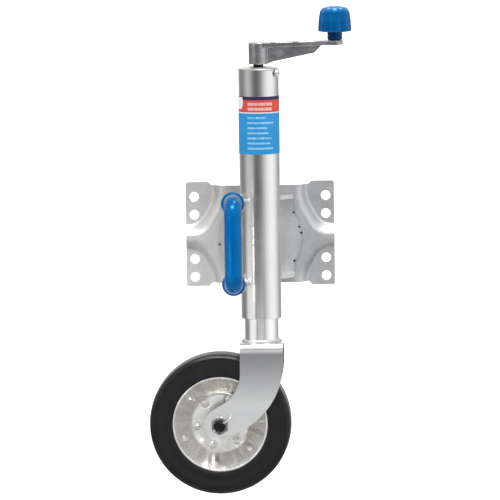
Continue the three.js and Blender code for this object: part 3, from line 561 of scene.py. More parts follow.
def label_look():
    """A printed film in plain bands with generic plain bars, and no lettering."""
    look = Look("printed_film", "printed_label",
                Coat_Weight=0.12, Coat_Roughness=0.12, Specular_IOR_Level=0.3)
    parts = look.node("ShaderNodeSeparateXYZ", {"Vector": look.coords}).outputs
    z = look.times(parts["Z"], 1000.0)
    along = look.times(look.math("ARCTAN2", parts["X"], look.times(parts["Y"], -1.0)), 28.8)

    def between(value, low, high, soft=0.25):
        return look.times(look.span(value, low - soft, low + soft),
                         look.span(value, high - soft, high + soft, 1.0, 0.0))

    cloud = look.noise(30, 3)
    cyan = look.mix(cloud, (0.003, 0.155, 0.37), (0.008, 0.235, 0.52))
    colour = look.mix(between(z, 181.6, 200, 0.3), cyan, (0.47, 0.045, 0.028))
    colour = look.mix(between(z, 180.6, 181.9, 0.2), colour, (0.6, 0.62, 0.64))
    colour = look.mix(look.span(z, 198.9, 199.3), colour, (0.017, 0.009, 0.062))
    rise = look.math("DIVIDE", look.math("SUBTRACT", z, 196.0), 9.0)
    edge = look.plus(along, look.times(look.times(rise, rise), 3.0))
    white = look.times(between(edge, -50, -25.5), between(z, 186, 203))
    colour = look.mix(white, colour, (0.58, 0.6, 0.62))

    def bars(value, first, pitch, height, ink, low, high, seed, left, word):
        row = look.math("DIVIDE", look.math("SUBTRACT", value, first), pitch)
        inside = look.math("LESS_THAN", look.math("FRACT", row), height)
        keys = look.node("ShaderNodeCombineXYZ", {"X": look.math("FLOOR", row), "Y": float(seed)}).outputs[0]
        ends = look.node("ShaderNodeTexWhiteNoise", {"Vector": keys}, noise_dimensions="3D").outputs["Value"]
        stop = look.math("LESS_THAN", along, look.span(ends, 0, 1, *left[1:]))
        begin = look.math("GREATER_THAN", along, left[0])
        pick = look.node("ShaderNodeCombineXYZ", {
            "X": look.math("DIVIDE", along, word), "Y": look.times(look.math("FLOOR", row), 7.3),
        }).outputs[0]
        gaps = look.span(look.noise(1.0, 2.0, 0.6, pick), 0.36, 0.56, 0.08, 0.62)
        above = look.math("GREATER_THAN", value, low)
        below = look.math("LESS_THAN", value, high)
        rows = look.times(above, below)
        mask = inside
        for other in (stop, begin, gaps, rows):
            mask = look.times(mask, other)
        return look.mix(mask, colour, ink)

    colour = bars(z, 184.6, 6.9, 0.6, (0.66, 0.6, 0.58), 184.2, 197, 3, (-17, 18, 25), 1.3)
    colour = bars(z, 130.1, 7.15, 0.36, (0.42, 0.6, 0.68), 129.5, 177.5, 5, (-17.5, 4, 27), 1.0)
    look.colour(colour)
    look.bump(look.noise(500, 2), 0.00001)
    return look.material


rubber = rubber_look()
rim_metal = rim_look()
film = label_look()
weld_metal = metal(
    "weld_bead", "galvanised_steel", (0.45, 0.45, 0.45), (0.66, 0.66, 0.66), (0.32, 0.5),
    blotch=200, grain=0.00006,
).material


# ------------------------------------------------------------------ mounting plate and pivot

def soft_min(a, b, reach):
    overlap = max(reach - abs(a - b), 0) / reach
    return min(a, b) - overlap * overlap * reach / 4


def ease(t, bend=0.3):
    """0 to 1 with a straight middle and a round bend at each end."""
    t = min(max(t, 0), 1)
    if t < bend:
        return t * t / (2 * bend) / (1 - bend)
    if t > 1 - bend:
        return 1 - (1 - t) ** 2 / (2 * bend) / (1 - bend)
    return (t - bend / 2) / (1 - bend)


def ramp(t, foot=0.16, brow=0.62):
    """0 to 1: a tight bend at the foot, a straight run and a long soft bend at the top."""
    t = min(max(t, 0), 1)
    steep = 1 / (1 - foot / 2 - brow / 2)
    if t < foot:
        return steep * t * t / (2 * foot)
    if t > 1 - brow:
        return 1 - steep * (1 - t) ** 2 / (2 * brow)
    return steep * (t - foot / 2)


def plate_rise(x, z):
    x, z = abs(x), abs(z)
    slant = sin(radians(60)) * (x - 66) + cos(radians(60)) * (z - 52.5)
    pad = soft_min(soft_min(x - 66, slant, 6), z - 16.8, 14)
    ring = 0.35 * (1 - ease((hypot(x, z) - 64) / 1.6)) if hypot(x, z) < 70 else 0
    return 13.65 * ramp((0.8 - pad) / 15.6) + ring


def plate_edge(x, top):
    pad, centre = (77.8, 73.5) if top > 0 else (70, 65)
    share = min(max((abs(x) - 68.5) / 4.5, 0), 1)
    height = centre + (pad - centre) * share
    corner = 3
    near = abs(x) - (105 - corner)
    if near > 0:
        height -= corner - sqrt(max(corner * corner - near * near, 0))
    return height


def mounting_plate():
    xs = [-105 + 1.5 * i for i in range(2)] + [-102 + i * 1.25 for i in range(44)]
    half = sorted({105.0, 104.9, 104.6, 104.1, 103.4, 102.4, 101.2}
                  | {100 - i * 1.25 for i in range(25)} | {68.5, 73.0}
                  | {68 - i * 1.6 for i in range(7)} | {56 - i * 4.0 for i in range(14)})
    xs = [-x for x in reversed(half)] + [x for x in half if x > 0]
    xs = sorted(set(round(x, 3) for x in xs))
    rows = 118
    verts, front, back = [], [], []
    for x in xs:
        low, high = -plate_edge(x, -1), plate_edge(x, 1)
        f, b = [], []
        for j in range(rows + 1):
            z = low + (high - low) * j / rows
            rise = plate_rise(x, z)
            f.append(len(verts))
            verts.append((x, -PLATE_SHEET - rise, z))
            b.append(len(verts))
            verts.append((x, -rise, z))
        front.append(f)
        back.append(b)
    faces = []
    for i in range(len(xs) - 1):
        for j in range(rows):
            faces.append((front[i][j], front[i + 1][j], front[i + 1][j + 1], front[i][j + 1]))
            faces.append((back[i][j], back[i][j + 1], back[i + 1][j + 1], back[i + 1][j]))
        for j in (0, rows):
            faces.append((front[i][j], back[i][j], back[i + 1][j], front[i + 1][j]))
    for j in range(rows):
        for i in (0, len(xs) - 1):
            faces.append((front[i][j], front[i][j + 1], back[i][j + 1], back[i][j]))
    plate = bevel(build(verts, faces), 0.45, 2, 50)
    tools = [drill(PIVOT_BORE, 0, 0, PLATE_FRONT, PLATE_FRONT + PLATE_SHEET)]
    for x in (-93, 93):
        tools += [drill(6.75, x, z, -PLATE_SHEET, 0) for z in (-57, -31.5, 31.5, 57)]
    for x, z in ((HANDLE_X, LOCK_PIN_Z), (HANDLE_X, -LOCK_PIN_Z)):
        for turn in range(4):
            angle = turn * pi / 2
            tools.append(drill(6.35, x * cos(angle) - z * sin(angle), x * sin(angle) + z * cos(angle),
                               PLATE_FRONT, PLATE_FRONT + PLATE_SHEET, sides=32))
    return combine(plate, tools, "DIFFERENCE")


piece(mounting_plate(), "plate", "mount", plate_metal, "mounting_plate", sharp=40)


def sleeve(bore, outer, low, high, inside, outside, axis, sides):
    """A plain ring; inside and outside are the roundings of its edges."""
    return lathe([
        (bore, low, inside), (outer, low, outside), (outer, high, outside), (bore, high, inside),
    ], axis, sides, ring=True)


def washer(outer, bore, front, back, rounding=0.4):
    return sleeve(bore, outer, front, back, 0.25, rounding, "Y", 72)


def hex_nut(width, height, bore, front):
    """A hexagon nut along Y with both ends' corners turned down."""
    corner = width / 2 / cos(pi / 6)
    flat = [(corner * cos(pi / 6 + k * pi / 3), corner * sin(pi / 6 + k * pi / 3)) for k in range(6)]
    body = bevel(prism(flat, front, front + height), 0.35, 2)
    drop = (corner - width / 2) * 0.6
    turned_down = lathe([
        (0, front), (width / 2 - 0.2, front), (corner + 0.1, front + drop),
        (corner + 0.1, front + height - drop), (width / 2 - 0.2, front + height), (0, front + height),
    ], "Y", 72)
    return combine(combine(body, [turned_down], "INTERSECT"),
                   [drill(bore, 0, 0, front, front + height, 0.6)], "DIFFERENCE")


head_back = WEB_FRONT - 0.3
piece(lathe([
    (0, head_back - 5.4), (14, head_back - 5.4, 3), (20, head_back - 2.2, 2), (20, head_back, 0.3),
    (10, head_back), (10, -1.6), (9.4, -1), (0, -1),
], "Y"), "pivot_stud", "mount", zinc, "pivot_bolt")
piece(washer(22, PIVOT_BORE, -13.7, -11.2), "pivot_flat_washer", "mount", zinc, "pivot_washer")
piece(hex_nut(30, 9, PIVOT_BORE, -10.9), "pivot_hex_nut", "mount", zinc, "pivot_nut")
piece(washer(35, PIVOT_BORE, -19.7, -18.3), "pivot_thrust_washer", "mount", bronze, "thrust_washer")


# ------------------------------------------------------------------ bracket and outer leg

# Five small near-black pins in holes along the web's round edge, which show as dark dots there.
EDGE_DOTS = ((47.4, 35), (54.9, 14.5), (57.6, 6), (47.6, -33.5), (-57.4, -9))


def bracket():
    web = prism([(47, -55.8, 3), (47, 60.6, 3), (-47, 60.6, 3), (-47, -55.8, 3)], WEB_FRONT, WEB_BACK)
    disc = plain_drill(58, 0, 0, WEB_FRONT, WEB_BACK, 180)
    flanges = []
    bar_side = HANDLE_X + 8 + 1.2
    for low in (-55.8, 55.6):
        flanges.append(prism([
            (47, WEB_BACK), (bar_side, WEB_BACK), (bar_side, -42, 2), (-22.8, -54),
            (TUBE_ROOM, -54), (47, -34, 2),
        ], low, low + 5, "Z"))
    body = combine(web, [disc, *flanges], "UNION")
    tube = lathe([(0, -70), (TUBE_ROOM, -70), (TUBE_ROOM, 75), (0, 75)], "Z", 128)
    tools = [moved(tube, 0, LEG_Y, 0), plain_drill(PIVOT_BORE, 0, 0, -30, -15)]
    tools += [plain_drill(6.35, HANDLE_X, z, -30, -15) for z in (LOCK_PIN_Z, -LOCK_PIN_Z)]
    tools += [plain_drill(1.6, x, z, -30, -15, 20) for x, z in EDGE_DOTS]
    return bevel(combine(body, tools, "DIFFERENCE"), 0.6, 2, 50)


piece(bracket(), "bracket", "leg", galvanised, "swivel_bracket", sharp=40)
piece(joined([moved(lathe([
    (0, WEB_FRONT + 0.3), (1.0, WEB_FRONT + 0.3, 0.3), (1.5, WEB_FRONT + 0.7, 0.2),
    (1.5, WEB_BACK), (0, WEB_BACK),
], "Y", 20), x, 0, z) for x, z in EDGE_DOTS]), "dark_edge_dots", "leg", dark_steel)

cap_angle = -33
rivet_z = TUBE_TOP - 4.6


def along_rivet(shape):
    """Lays a shape drawn along Z in the direction of the cap rivet."""
    return moved(turned(turned(shape, 90, "Y"), cap_angle, "Z"), 0, 0, rivet_z)


tube = lathe([
    (TUBE_BORE, TUBE_BOTTOM, 0.4), (TUBE_R, TUBE_BOTTOM, 0.6),
    (TUBE_R, TUBE_TOP, 0.4), (TUBE_BORE, TUBE_TOP, 0.4),
], "Z", 160, ring=True)
piece(tube, "leg_tube", "leg", tube_metal, "outer_tube", LEG)
piece(lathe([
    (9.8, TUBE_TOP - 8), (25.2, TUBE_TOP - 8), (25.2, TUBE_TOP + 0.3), (29.2, TUBE_TOP + 0.3, 0.3),
    (29.2, TUBE_TOP + 1.3, 0.6), (27.4, TUBE_TOP + 2.2, 2), (22, TUBE_TOP + 3.5, 8), (11, CAP_TOP, 0.6),
    (9.8, CAP_TOP, 0.3),
], "Z", 128, ring=True), "leg_cap", "leg", zinc, "tube_cap", LEG)
piece(lathe([
    (SCREW_BORE, TUBE_TOP - 8), (9.5, TUBE_TOP - 8), (9.5, CAP_TOP, 0.4), (SCREW_BORE, CAP_TOP, 0.4),
], "Z", 64, ring=True), "leg_cap_bush", "leg", bronze, "cap_bush", LEG)
piece(along_rivet(lathe([
    (0, 20.5), (2.5, 20.5), (2.5, 29.5), (5, 29.5, 0.3), (5, 31, 1.2), (3.8, 33.4, 1.6), (0, 34),
], "Z", 48)), "cap_rivet_head", "leg", zinc, "cap_rivet", LEG)
piece(sleeve(SCREW_BORE, 18, 224.5, 232.5, 0.5, 0.8, "Z", 72),
      "thrust_bearing_race", "leg", steel, "thrust_bearing", LEG)
piece(lathe([
    (24.3, TUBE_BOTTOM, 0.2), (25.2, TUBE_BOTTOM, 0.2), (25.2, TUBE_BOTTOM + 30), (24.3, TUBE_BOTTOM + 30),
], "Z", 96, ring=True), "leg_guide_bush", "leg", nylon, "guide_bush", LEG)


def label_patch():
    """A thin film round the tube's front with rounded corners."""
    start, sweep_angle, low, high, corner = radians(168), radians(200), 123, 204, 4
    inside, outside = TUBE_R + 0.12, TUBE_R + 0.3
    length = sweep_angle * outside
    columns = sorted({0, 0.3, 0.9, 1.8, 2.9, 4} | {4 + (length - 8) * i / 80 for i in range(81)}
                     | {length - s for s in (0, 0.3, 0.9, 1.8, 2.9, 4)})
    rows = []
    verts = []
    for s in columns:
        near = corner - min(s, length - s)
        cut = corner - sqrt(max(corner ** 2 - near ** 2, 0)) if near > 0 else 0
        angle = start + s / outside
        ring = []
        for r, z in ((inside, low + cut), (outside, low + cut), (outside, high - cut), (inside, high - cut)):
            ring.append(len(verts))
            verts.append((r * cos(angle), r * sin(angle), z))
        rows.append(ring)
    faces = strips(rows) + [tuple(rows[0]), tuple(reversed(rows[-1]))]
    return build(verts, faces)


piece(label_patch(), "label_film", "leg", film, "label", LEG, sharp=60)


def weld(path, size, closed=False, seed=0.0):
    """A weld bead with the ripples of its passes."""
    dense = []
    points = [Vector(p) for p in path]
    pairs = list(zip(points, points[1:] + ([points[0]] if closed else [])))
    if not closed:
        pairs = pairs[:len(points) - 1]
    for a, b in pairs:
        steps = max(1, round((b - a).length / 0.55))
        dense += [a.lerp(b, k / steps) for k in range(steps)]
    if not closed:
        dense.append(points[-1])
    radii, travelled = [], 0.0
    for i, p in enumerate(dense):
        if i:
            travelled += (p - dense[i - 1]).length
        ripple = abs(sin(travelled * 1.35 + seed))
        radii.append(size * (0.9 + 0.13 * ripple + 0.05 * sin(travelled * 0.31 + seed * 2)))
    if not closed:
        for k in range(3):
            radii[k] *= (0.45, 0.75, 0.92)[k]
            radii[-1 - k] *= (0.45, 0.75, 0.92)[k]
    return sweep(dense, radii, 14, closed)


def arc(radius, start, end, z, steps=48):
    return [(radius * cos(radians(start + (end - start) * k / steps)),
             radius * sin(radians(start + (end - start) * k / steps)), z) for k in range(steps + 1)]


piece(joined([
    weld(arc(TUBE_R + 0.6, 12, 150, 61.2), 2.1, seed=0.4),
    weld(arc(TUBE_R + 0.6, 12, 150, -56.4), 2.1, seed=1.7),
    weld(arc(TUBE_R + 0.6, 14, 145, 55.0), 1.7, seed=2.9),
    weld(arc(TUBE_R + 0.6, 14, 145, -50.2), 1.7, seed=0.9),
]), "bracket_welds", "leg", weld_metal, at=LEG, sharp=60)


def lug(z):
    plate = prism([
        (-8, z - 12, 0), (-8, z + 12, 0), (HANDLE_X - 15, z + 12, 7), (HANDLE_X - 15, z - 12, 7),
    ], LUG_FRONT, LUG_FRONT + 4)
    tube_space = lathe([(0, z - 30), (TUBE_ROOM, z - 30), (TUBE_ROOM, z + 30), (0, z + 30)], "Z", 128)
    moved(tube_space, 0, LEG_Y, 0)
    clear = prism([(-14.25, z - 30), (-14.25, z + 30), (30, z + 30), (30, z - 30)], LUG_FRONT - 2, 0)
    shape = combine(plate, [tube_space, clear, plain_drill(5.35, HANDLE_X, z, -90, -60)], "DIFFERENCE")
    return bevel(shape, 0.5, 2, 50)


for name, z in (("upper", HANDLE_TOP), ("lower", HANDLE_BOTTOM)):
    piece(lug(z), f"lug_{name}", "leg", galvanised, f"handle_lug_{name}", sharp=40)
    side_y = LUG_FRONT + 4 - LEG_Y
    x_at = -sqrt(TUBE_R ** 2 - side_y ** 2)
    piece(weld([(x_at - 0.7, side_y + 0.7, z - 11.2), (x_at - 0.7, side_y + 0.7, z + 11.2)], 1.8, seed=z),
          f"lug_weld_{name}", "leg", weld_metal, at=LEG, sharp=60)


# ------------------------------------------------------------------ lock and pull handle

def grip():
    """The bent blue handle, one moulding with a round collar at each end."""
    bend = 15
    steps = 26

    def curve(height, start):
        angles = [radians(start + 90 * k / steps) for k in range(steps + 1)]
        return [(straight + bend * cos(a), height + bend * sin(a)) for a in angles]

    top, low = HANDLE_TOP, HANDLE_BOTTOM
    straight = GRIP_Y + bend
    collar = [(COLLAR_BACK - ahead, radius) for ahead, radius in (
        (0, 15.2), (0.4, 16.0), (1.4, 16.5), (4.4, 16.5), (5.6, 16.1), (6.5, 15.2), (7.0, 14.2), (7.4, 13.4),
        (8.2, 12.8), (9.6, 12.5))]
    stations = [(y, top, r) for y, r in collar]
    stations += [(y, z, 12.5) for y, z in curve(top - bend, 90)]
    span = (top - bend) - (low + bend)
    for k in range(1, 24):
        share = k / 24
        swell = 0.35 * sin(pi * share)
        stations.append((GRIP_Y, top - bend - span * share, 12.5 + swell * 0.6 - 0.35))
    stations += [(y, z, 12.5) for y, z in curve(low + bend, 180)]
    stations += [(y, low, r) for y, r in reversed(collar)]
    path = [(HANDLE_X, y, z) for y, z, _ in stations]
    bar = sweep(path, [r for _, _, r in stations], 64)
    holes = [plain_drill(5.35, HANDLE_X, z, -96, -78) for z in (top, low)]
    return combine(bar, holes, "DIFFERENCE")


piece(grip(), "blue_handle", "lock_handle", blue, "handle_grip", sharp=50).visible_glossy = False

for name, z, pin_z in (("upper", HANDLE_TOP, LOCK_PIN_Z), ("lower", HANDLE_BOTTOM, -LOCK_PIN_Z)):
    end = BAR_BACK + 5.2
    piece(moved(lathe([
        (0, -95.7), (5, -95.7, 0.5), (5, BAR_FRONT - 0.3, 0.4), (4, BAR_FRONT - 0.3), (4, end, 0.6), (0, end),
    ], "Y", 48), HANDLE_X, 0, z), f"rod_{name}", "lock_handle", zinc, f"pull_rod_{name}")
    piece(moved(hex_nut(15, 4.6, 4.35, BAR_BACK + 0.3), HANDLE_X, 0, z),
          f"rod_hex_nut_{name}", "lock_handle", zinc, f"rod_nut_{name}", sharp=40)
    piece(moved(lathe([
        (0, -42.8), (6.5, -42.8, 0.8), (6.5, -40.3, 0.3), (4, -40.3), (4, -33.7), (6, -33.7, 0.3),
        (6, -19.8, 0.6), (4.5, -18.3, 0.5), (0, -18.3),
    ], "Y", 48), HANDLE_X, 0, pin_z), f"pin_{name}", "lock_handle", zinc, f"lock_pin_{name}")
    radius, front, rear, turns = 7.5, -70.7, -41.3, 5
    coil = []
    for k in range(turns * 36 + 1):
        share = k / (turns * 36)
        flat_end = ease(share, 0.12)
        coil.append((HANDLE_X + radius * cos(2 * pi * k / 36), front + (rear - front) * flat_end,
                     z + radius * sin(2 * pi * k / 36)))
    spring = piece(sweep(coil, 1.0, 12), f"spring_{name}", "leg", steel, f"lock_spring_{name}", sharp=60)
    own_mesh(spring)

bar = prism([
    (HANDLE_X + 8, HANDLE_BOTTOM - 10, 5), (HANDLE_X + 8, HANDLE_TOP + 10, 5),
    (HANDLE_X - 8, HANDLE_TOP + 10, 5), (HANDLE_X - 8, HANDLE_BOTTOM - 10, 5),
], BAR_FRONT, BAR_BACK)
bar_holes = (HANDLE_TOP, LOCK_PIN_Z, -LOCK_PIN_Z, HANDLE_BOTTOM)
bar = combine(bar, [plain_drill(4.35, HANDLE_X, z, -45, -30) for z in bar_holes], "DIFFERENCE")
piece(bevel(bar, 0.6, 2, 50), "lock_cross_bar", "lock_handle", zinc, "lock_bar", sharp=40)


# ------------------------------------------------------------------ crank and knob

def crank_arm():
    """One casting: a hub, a flat strip on top and a rib that tapers below it."""
    hub = lathe([
        (0, HUB_BOTTOM), (13.5, HUB_BOTTOM, 1.2), (13.5, HUB_TOP, 1.2), (0, HUB_TOP),
    ], "Z", 72)
    outline = [(12.5 * sin(radians(a)) * -1, 12.5 * cos(radians(a))) for a in range(0, 181, 6)]
    outline += [(CRANK_REACH + 11 * sin(radians(a)), -11 * cos(radians(a))) for a in range(0, 181, 6)]
    strip = prism(outline, -6, 0, "Z")
    slope = math.degrees(atan2(CRANK_RISE, CRANK_REACH))
    strip = moved(turned(strip, -slope, "Y"), 0, 0, HUB_TOP)
    rib_end = CRANK_REACH - 18.5
    rib = prism([
        (0, HUB_BOTTOM + 0.9), (14, HUB_BOTTOM + 1.0), (22, HUB_BOTTOM + 3.8, 8),
        (rib_end - 10.4, ARM_TOP - 16.7, 3), (rib_end, ARM_TOP - 6), (rib_end, ARM_TOP - 4), (0, HUB_TOP - 4),
    ], -4.6, 4.6)
    body = remesh(combine(hub, [strip, rib], "UNION"), 0.45, 2)
    bore = lathe([
        (0, HUB_BOTTOM - 3), (9.5, HUB_BOTTOM - 3), (SCREW_BORE, HUB_BOTTOM + 0.4),
        (SCREW_BORE, HUB_BOTTOM + 20), (0, HUB_BOTTOM + 20),
    ], "Z", 64)
    pin_hole = plain_drill(2.35, 0, HUB_BOTTOM + 10, -20, 20, 32)
    knob_hole = moved(lathe([(0, 270), (5.35, 270), (5.35, 290), (0, 290)], "Z", 48), CRANK_REACH)
    return combine(body, [bore, pin_hole, knob_hole], "DIFFERENCE")


piece(crank_arm(), "crank_casting", "crank", cast, "crank_arm", LEG, sharp=45)
piece(moved(lathe([(0, -13.1), (2, -13.1, 0.4), (2, 13.1, 0.4), (0, 13.1)], "Y", 32), 0, 0, HUB_BOTTOM + 10),
      "crank_spring_pin", "crank", steel, "crank_roll_pin", LEG)
piece(lathe([(0, -75), (6.2, -75), (7, -74), (7, HUB_BOTTOM + 19.7), (0, HUB_BOTTOM + 19.7)], "Z", 64),
      "screw_shaft", "crank", dark_steel, "lead_screw", LEG)
piece(sleeve(SCREW_BORE, 15, 217.2, 224.2, 0.3, 0.8, "Z", 64),
      "screw_thrust_collar", "crank", steel, "screw_collar", LEG)
knob_pin_top = KNOB_BOTTOM + KNOB_HEIGHT * 0.6
piece(moved(lathe([
    (0, ARM_TOP - 7), (5, ARM_TOP - 7, 0.6), (5, knob_pin_top, 0.5), (0, knob_pin_top),
], "Z", 48), CRANK_REACH), "knob_spindle", "crank", steel, "knob_pin", LEG)

KNOB = LEG @ Matrix.Translation((CRANK_REACH * MM, 0, 0))


def knob_lobes(radius, height, angle):
    """Eight soft lobes with narrow grooves between them, fading out on the crown."""
    valley = 1 - sqrt(cos(4 * angle) ** 2 + 0.01)
    fade = min(1, max(radius - 6, 0) / 14)
    return radius - 2.3 * max(valley, 0) ** 1.3 * fade, height


piece(lathe([
    (5.4, KNOB_BOTTOM + 3), (5.4, KNOB_BOTTOM, 0.3), (22.1, KNOB_BOTTOM, 1.0), (23.5, KNOB_BOTTOM + 1.4, 1.2),
    (22.6, KNOB_BOTTOM + 16, 30), (20.7, KNOB_BOTTOM + 28.7, 7), (16.6, KNOB_BOTTOM + 33.5, 7),
    (8, KNOB_BOTTOM + 35.6, 14), (0, KNOB_BOTTOM + KNOB_HEIGHT),
], "Z", 240, warp=knob_lobes), "blue_knob", "knob", blue, "crank_knob", KNOB, sharp=50)
# The neck below gets the navy with the painted shade under the knob.
piece(lathe([
    (5.35, ARM_TOP + 0.6), (9.4, ARM_TOP + 0.6, 0.4), (10.5, ARM_TOP + 2.0, 0.8), (10.5, ARM_TOP + 5.6, 0.3),
    (10.0, ARM_TOP + 6.1, 0.3), (10.5, ARM_TOP + 6.6, 0.3), (10.5, KNOB_BOTTOM - 0.3, 0.4),
    (5.35, KNOB_BOTTOM - 0.3),
], "Z", 96, ring=True), "navy_neck", "knob", navy, "knob_neck", KNOB)


# ------------------------------------------------------------------ inner leg and fork

piece(lathe([
    (SCREW_BORE, 148.8, 0.4), (21.2, 148.8, 0.5), (21.2, 169.1), (25.1, 169.1, 0.4), (25.1, 175.1, 0.6),
    (SCREW_BORE, 175.1, 0.4),
], "Z", 96, ring=True), "drive_nut_body", "nut", bronze, "drive_nut", LEG)
piece(lathe([
    (INNER_BORE, FORK_TOP + 0.3), (INNER_R, FORK_TOP + 0.3),
    (INNER_R, INNER_TOP, 0.4), (INNER_BORE, INNER_TOP, 0.4),
], "Z", 144, ring=True), "inner_leg", "caster", inner_metal, "inner_tube", CASTER)


def arm_outline():
    """The fork's side, drawn round the axle."""
    right, left = TRAIL + FORK_WIDTH / 2, TRAIL - FORK_WIDTH / 2
    outer, inner, end, slope = 105.5, 49.7, 20, radians(30)
    ex, ez = -1, 3
    ox = right - outer
    oz = ez + sqrt((outer - end) ** 2 - (ox - ex) ** 2)
    nx, nz = -sin(slope), cos(slope)
    ix = left - inner
    iz = (ex * nx + ez * nz + end + inner - ix * nx) / nz
    meet = atan2(ez - oz, ex - ox)
    line = pi / 2 + slope

    def sector(cx, cz, r, a, b, steps):
        return [(cx + r * cos(a + (b - a) * k / steps), cz + r * sin(a + (b - a) * k / steps))
                for k in range(steps + 1)]

    points = [(left, AXLE_DROP + 4), (right, AXLE_DROP + 4)]
    points += sector(ox, oz, outer, 0, meet, 40)
    points += sector(ex, ez, end, meet, line - 2 * pi, 44)
    points += sector(ix, iz, inner, line - pi, 0, 32)
    return points


def fork():
    """Bent sheet: an upside-down U from the side, cut to the arms' outline."""
    slack = 1.0

    def face(z):
        """How far the arm's outside stands in from its widest, at the foot of the bend."""
        drop = FORK_TOP - z
        return slack * (1 - math.exp(-max(drop - 9, 0) / 16))

    outer = [(0, FORK_TOP)]
    bend = 9
    for k in range(13):
        angle = radians(90 - 90 * k / 12)
        outer.append((FORK_HALF - bend + bend * cos(angle), FORK_TOP - bend + bend * sin(angle)))
    z = FORK_TOP - bend - 0.5
    while z > FORK_TOP - 100:
        outer.append((FORK_HALF - face(z), z))
        z -= 0.75 if z > FORK_TOP - 24 else 4
    outer.append((FORK_HALF, AXLE_Z - 30))
    inner = []
    small = 2.5
    for k in range(9):
        angle = radians(90 - 90 * k / 8)
        inner.append((FORK_HALF - FORK_SHEET - small + small * cos(angle),
                      FORK_TOP - FORK_SHEET - small + small * sin(angle)))
    z = FORK_TOP - FORK_SHEET - small - 0.5
    while z > FORK_TOP - 100:
        inner.append((FORK_HALF - FORK_SHEET - face(z), z))
        z -= 3
    inner.append((FORK_HALF - FORK_SHEET, AXLE_Z - 30))
    half = outer[1:] + inner[::-1]
    mirrored = [(-y, z) for y, z in reversed(half)]
    channel = prism(half + mirrored, -TRAIL - 40, 45, "X")
    side = moved(prism(arm_outline(), -60, 60), -TRAIL, 0, AXLE_Z)
    shape = bevel(combine(channel, [side], "INTERSECT"), 0.7, 2, 50)
    hole = moved(plain_drill(AXLE_BORE, 0, 0, -60, 60), -TRAIL, 0, AXLE_Z)
    return combine(shape, [hole], "DIFFERENCE")


piece(fork(), "caster_fork", "caster", fork_metal, "fork", CASTER, sharp=38)
piece(weld(arc(INNER_R + 0.9, 0, 360, FORK_TOP + 0.9, 90)[:-1], 2.7, True, 0.6),
      "fork_weld", "caster", weld_metal, at=CASTER, sharp=60)


# ------------------------------------------------------------------ axle

def at_split_pin(shape):
    """Lays a shape drawn along Z across the axle's end."""
    return moved(turned(shape, 52, "Y"), 0, -46, 0)


piece(lathe([
    (0, -52.2), (5.6, -52.2, 0.5), (6.3, -53, 0.4), (7.5, -51.6, 0.6), (7.5, 33.3), (11, 33.3, 0.4),
    (11, 38, 1.6), (0, 38),
], "Y", 72), "axle_bolt", "caster", dark_steel, "axle_pin", WHEEL)
piece(washer(12, AXLE_BORE, -35.5, -33.3, 0.5), "axle_flat_washer", "caster", zinc, "axle_washer", WHEEL)
piece(hex_nut(22, 8, AXLE_BORE, -43.8), "axle_hex_nut", "caster", nut_metal, "axle_nut", WHEEL, sharp=40)

legs = []
for off in (-0.85, 0.85):
    tip = 12 + (1.0 if off > 0 else 0)
    legs.append(sweep([(off, 0, 10), (off, 0, -9), (off * 1.3, 0, -tip)], 0.8, 12))
eye = [radians(a) for a in range(20, 341, 10)]
ring = [(0.95 * cos(a), 3.2 * sin(a), 16.2 - 5.2 * cos(a)) for a in eye]
legs.append(sweep([(0.85, 0, 9.5), *ring, (-0.85, 0, 9.5)], 0.8, 12))
piece(at_split_pin(joined(legs)), "axle_cotter", "caster", zinc, "split_pin", WHEEL, sharp=60)


# ------------------------------------------------------------------ wheel

side = [
    (46.3, 1.7), (66.3, 21.6), (67.4, 21.6), (67.4, 24.4, 0.4), (69.0, 25.4, 1.0), (72.6, 25.9, 2.2),
    (78, 25.4, 6), (87.5, 25.7, 8), (94.5, 25.0, 3.5), (98.3, 21.5, 5), (99.6, 15.5, 14), (99.85, 6, 20),
]
profile = [(r, -y, *rest) for r, y, *rest in side] + [(99.85, -0.9), (100, -0.5), (100, 0.5), (99.85, 0.9)]
profile += side[::-1]
piece(lathe(profile, "Y", 220, ring=True), "tyre_rubber_ring", "wheel", rubber, "tyre", WHEEL, sharp=50)

RIVETS = [(34 * cos(radians(10 + 60 * k)), 34 * sin(radians(10 + 60 * k))) for k in range(6)]


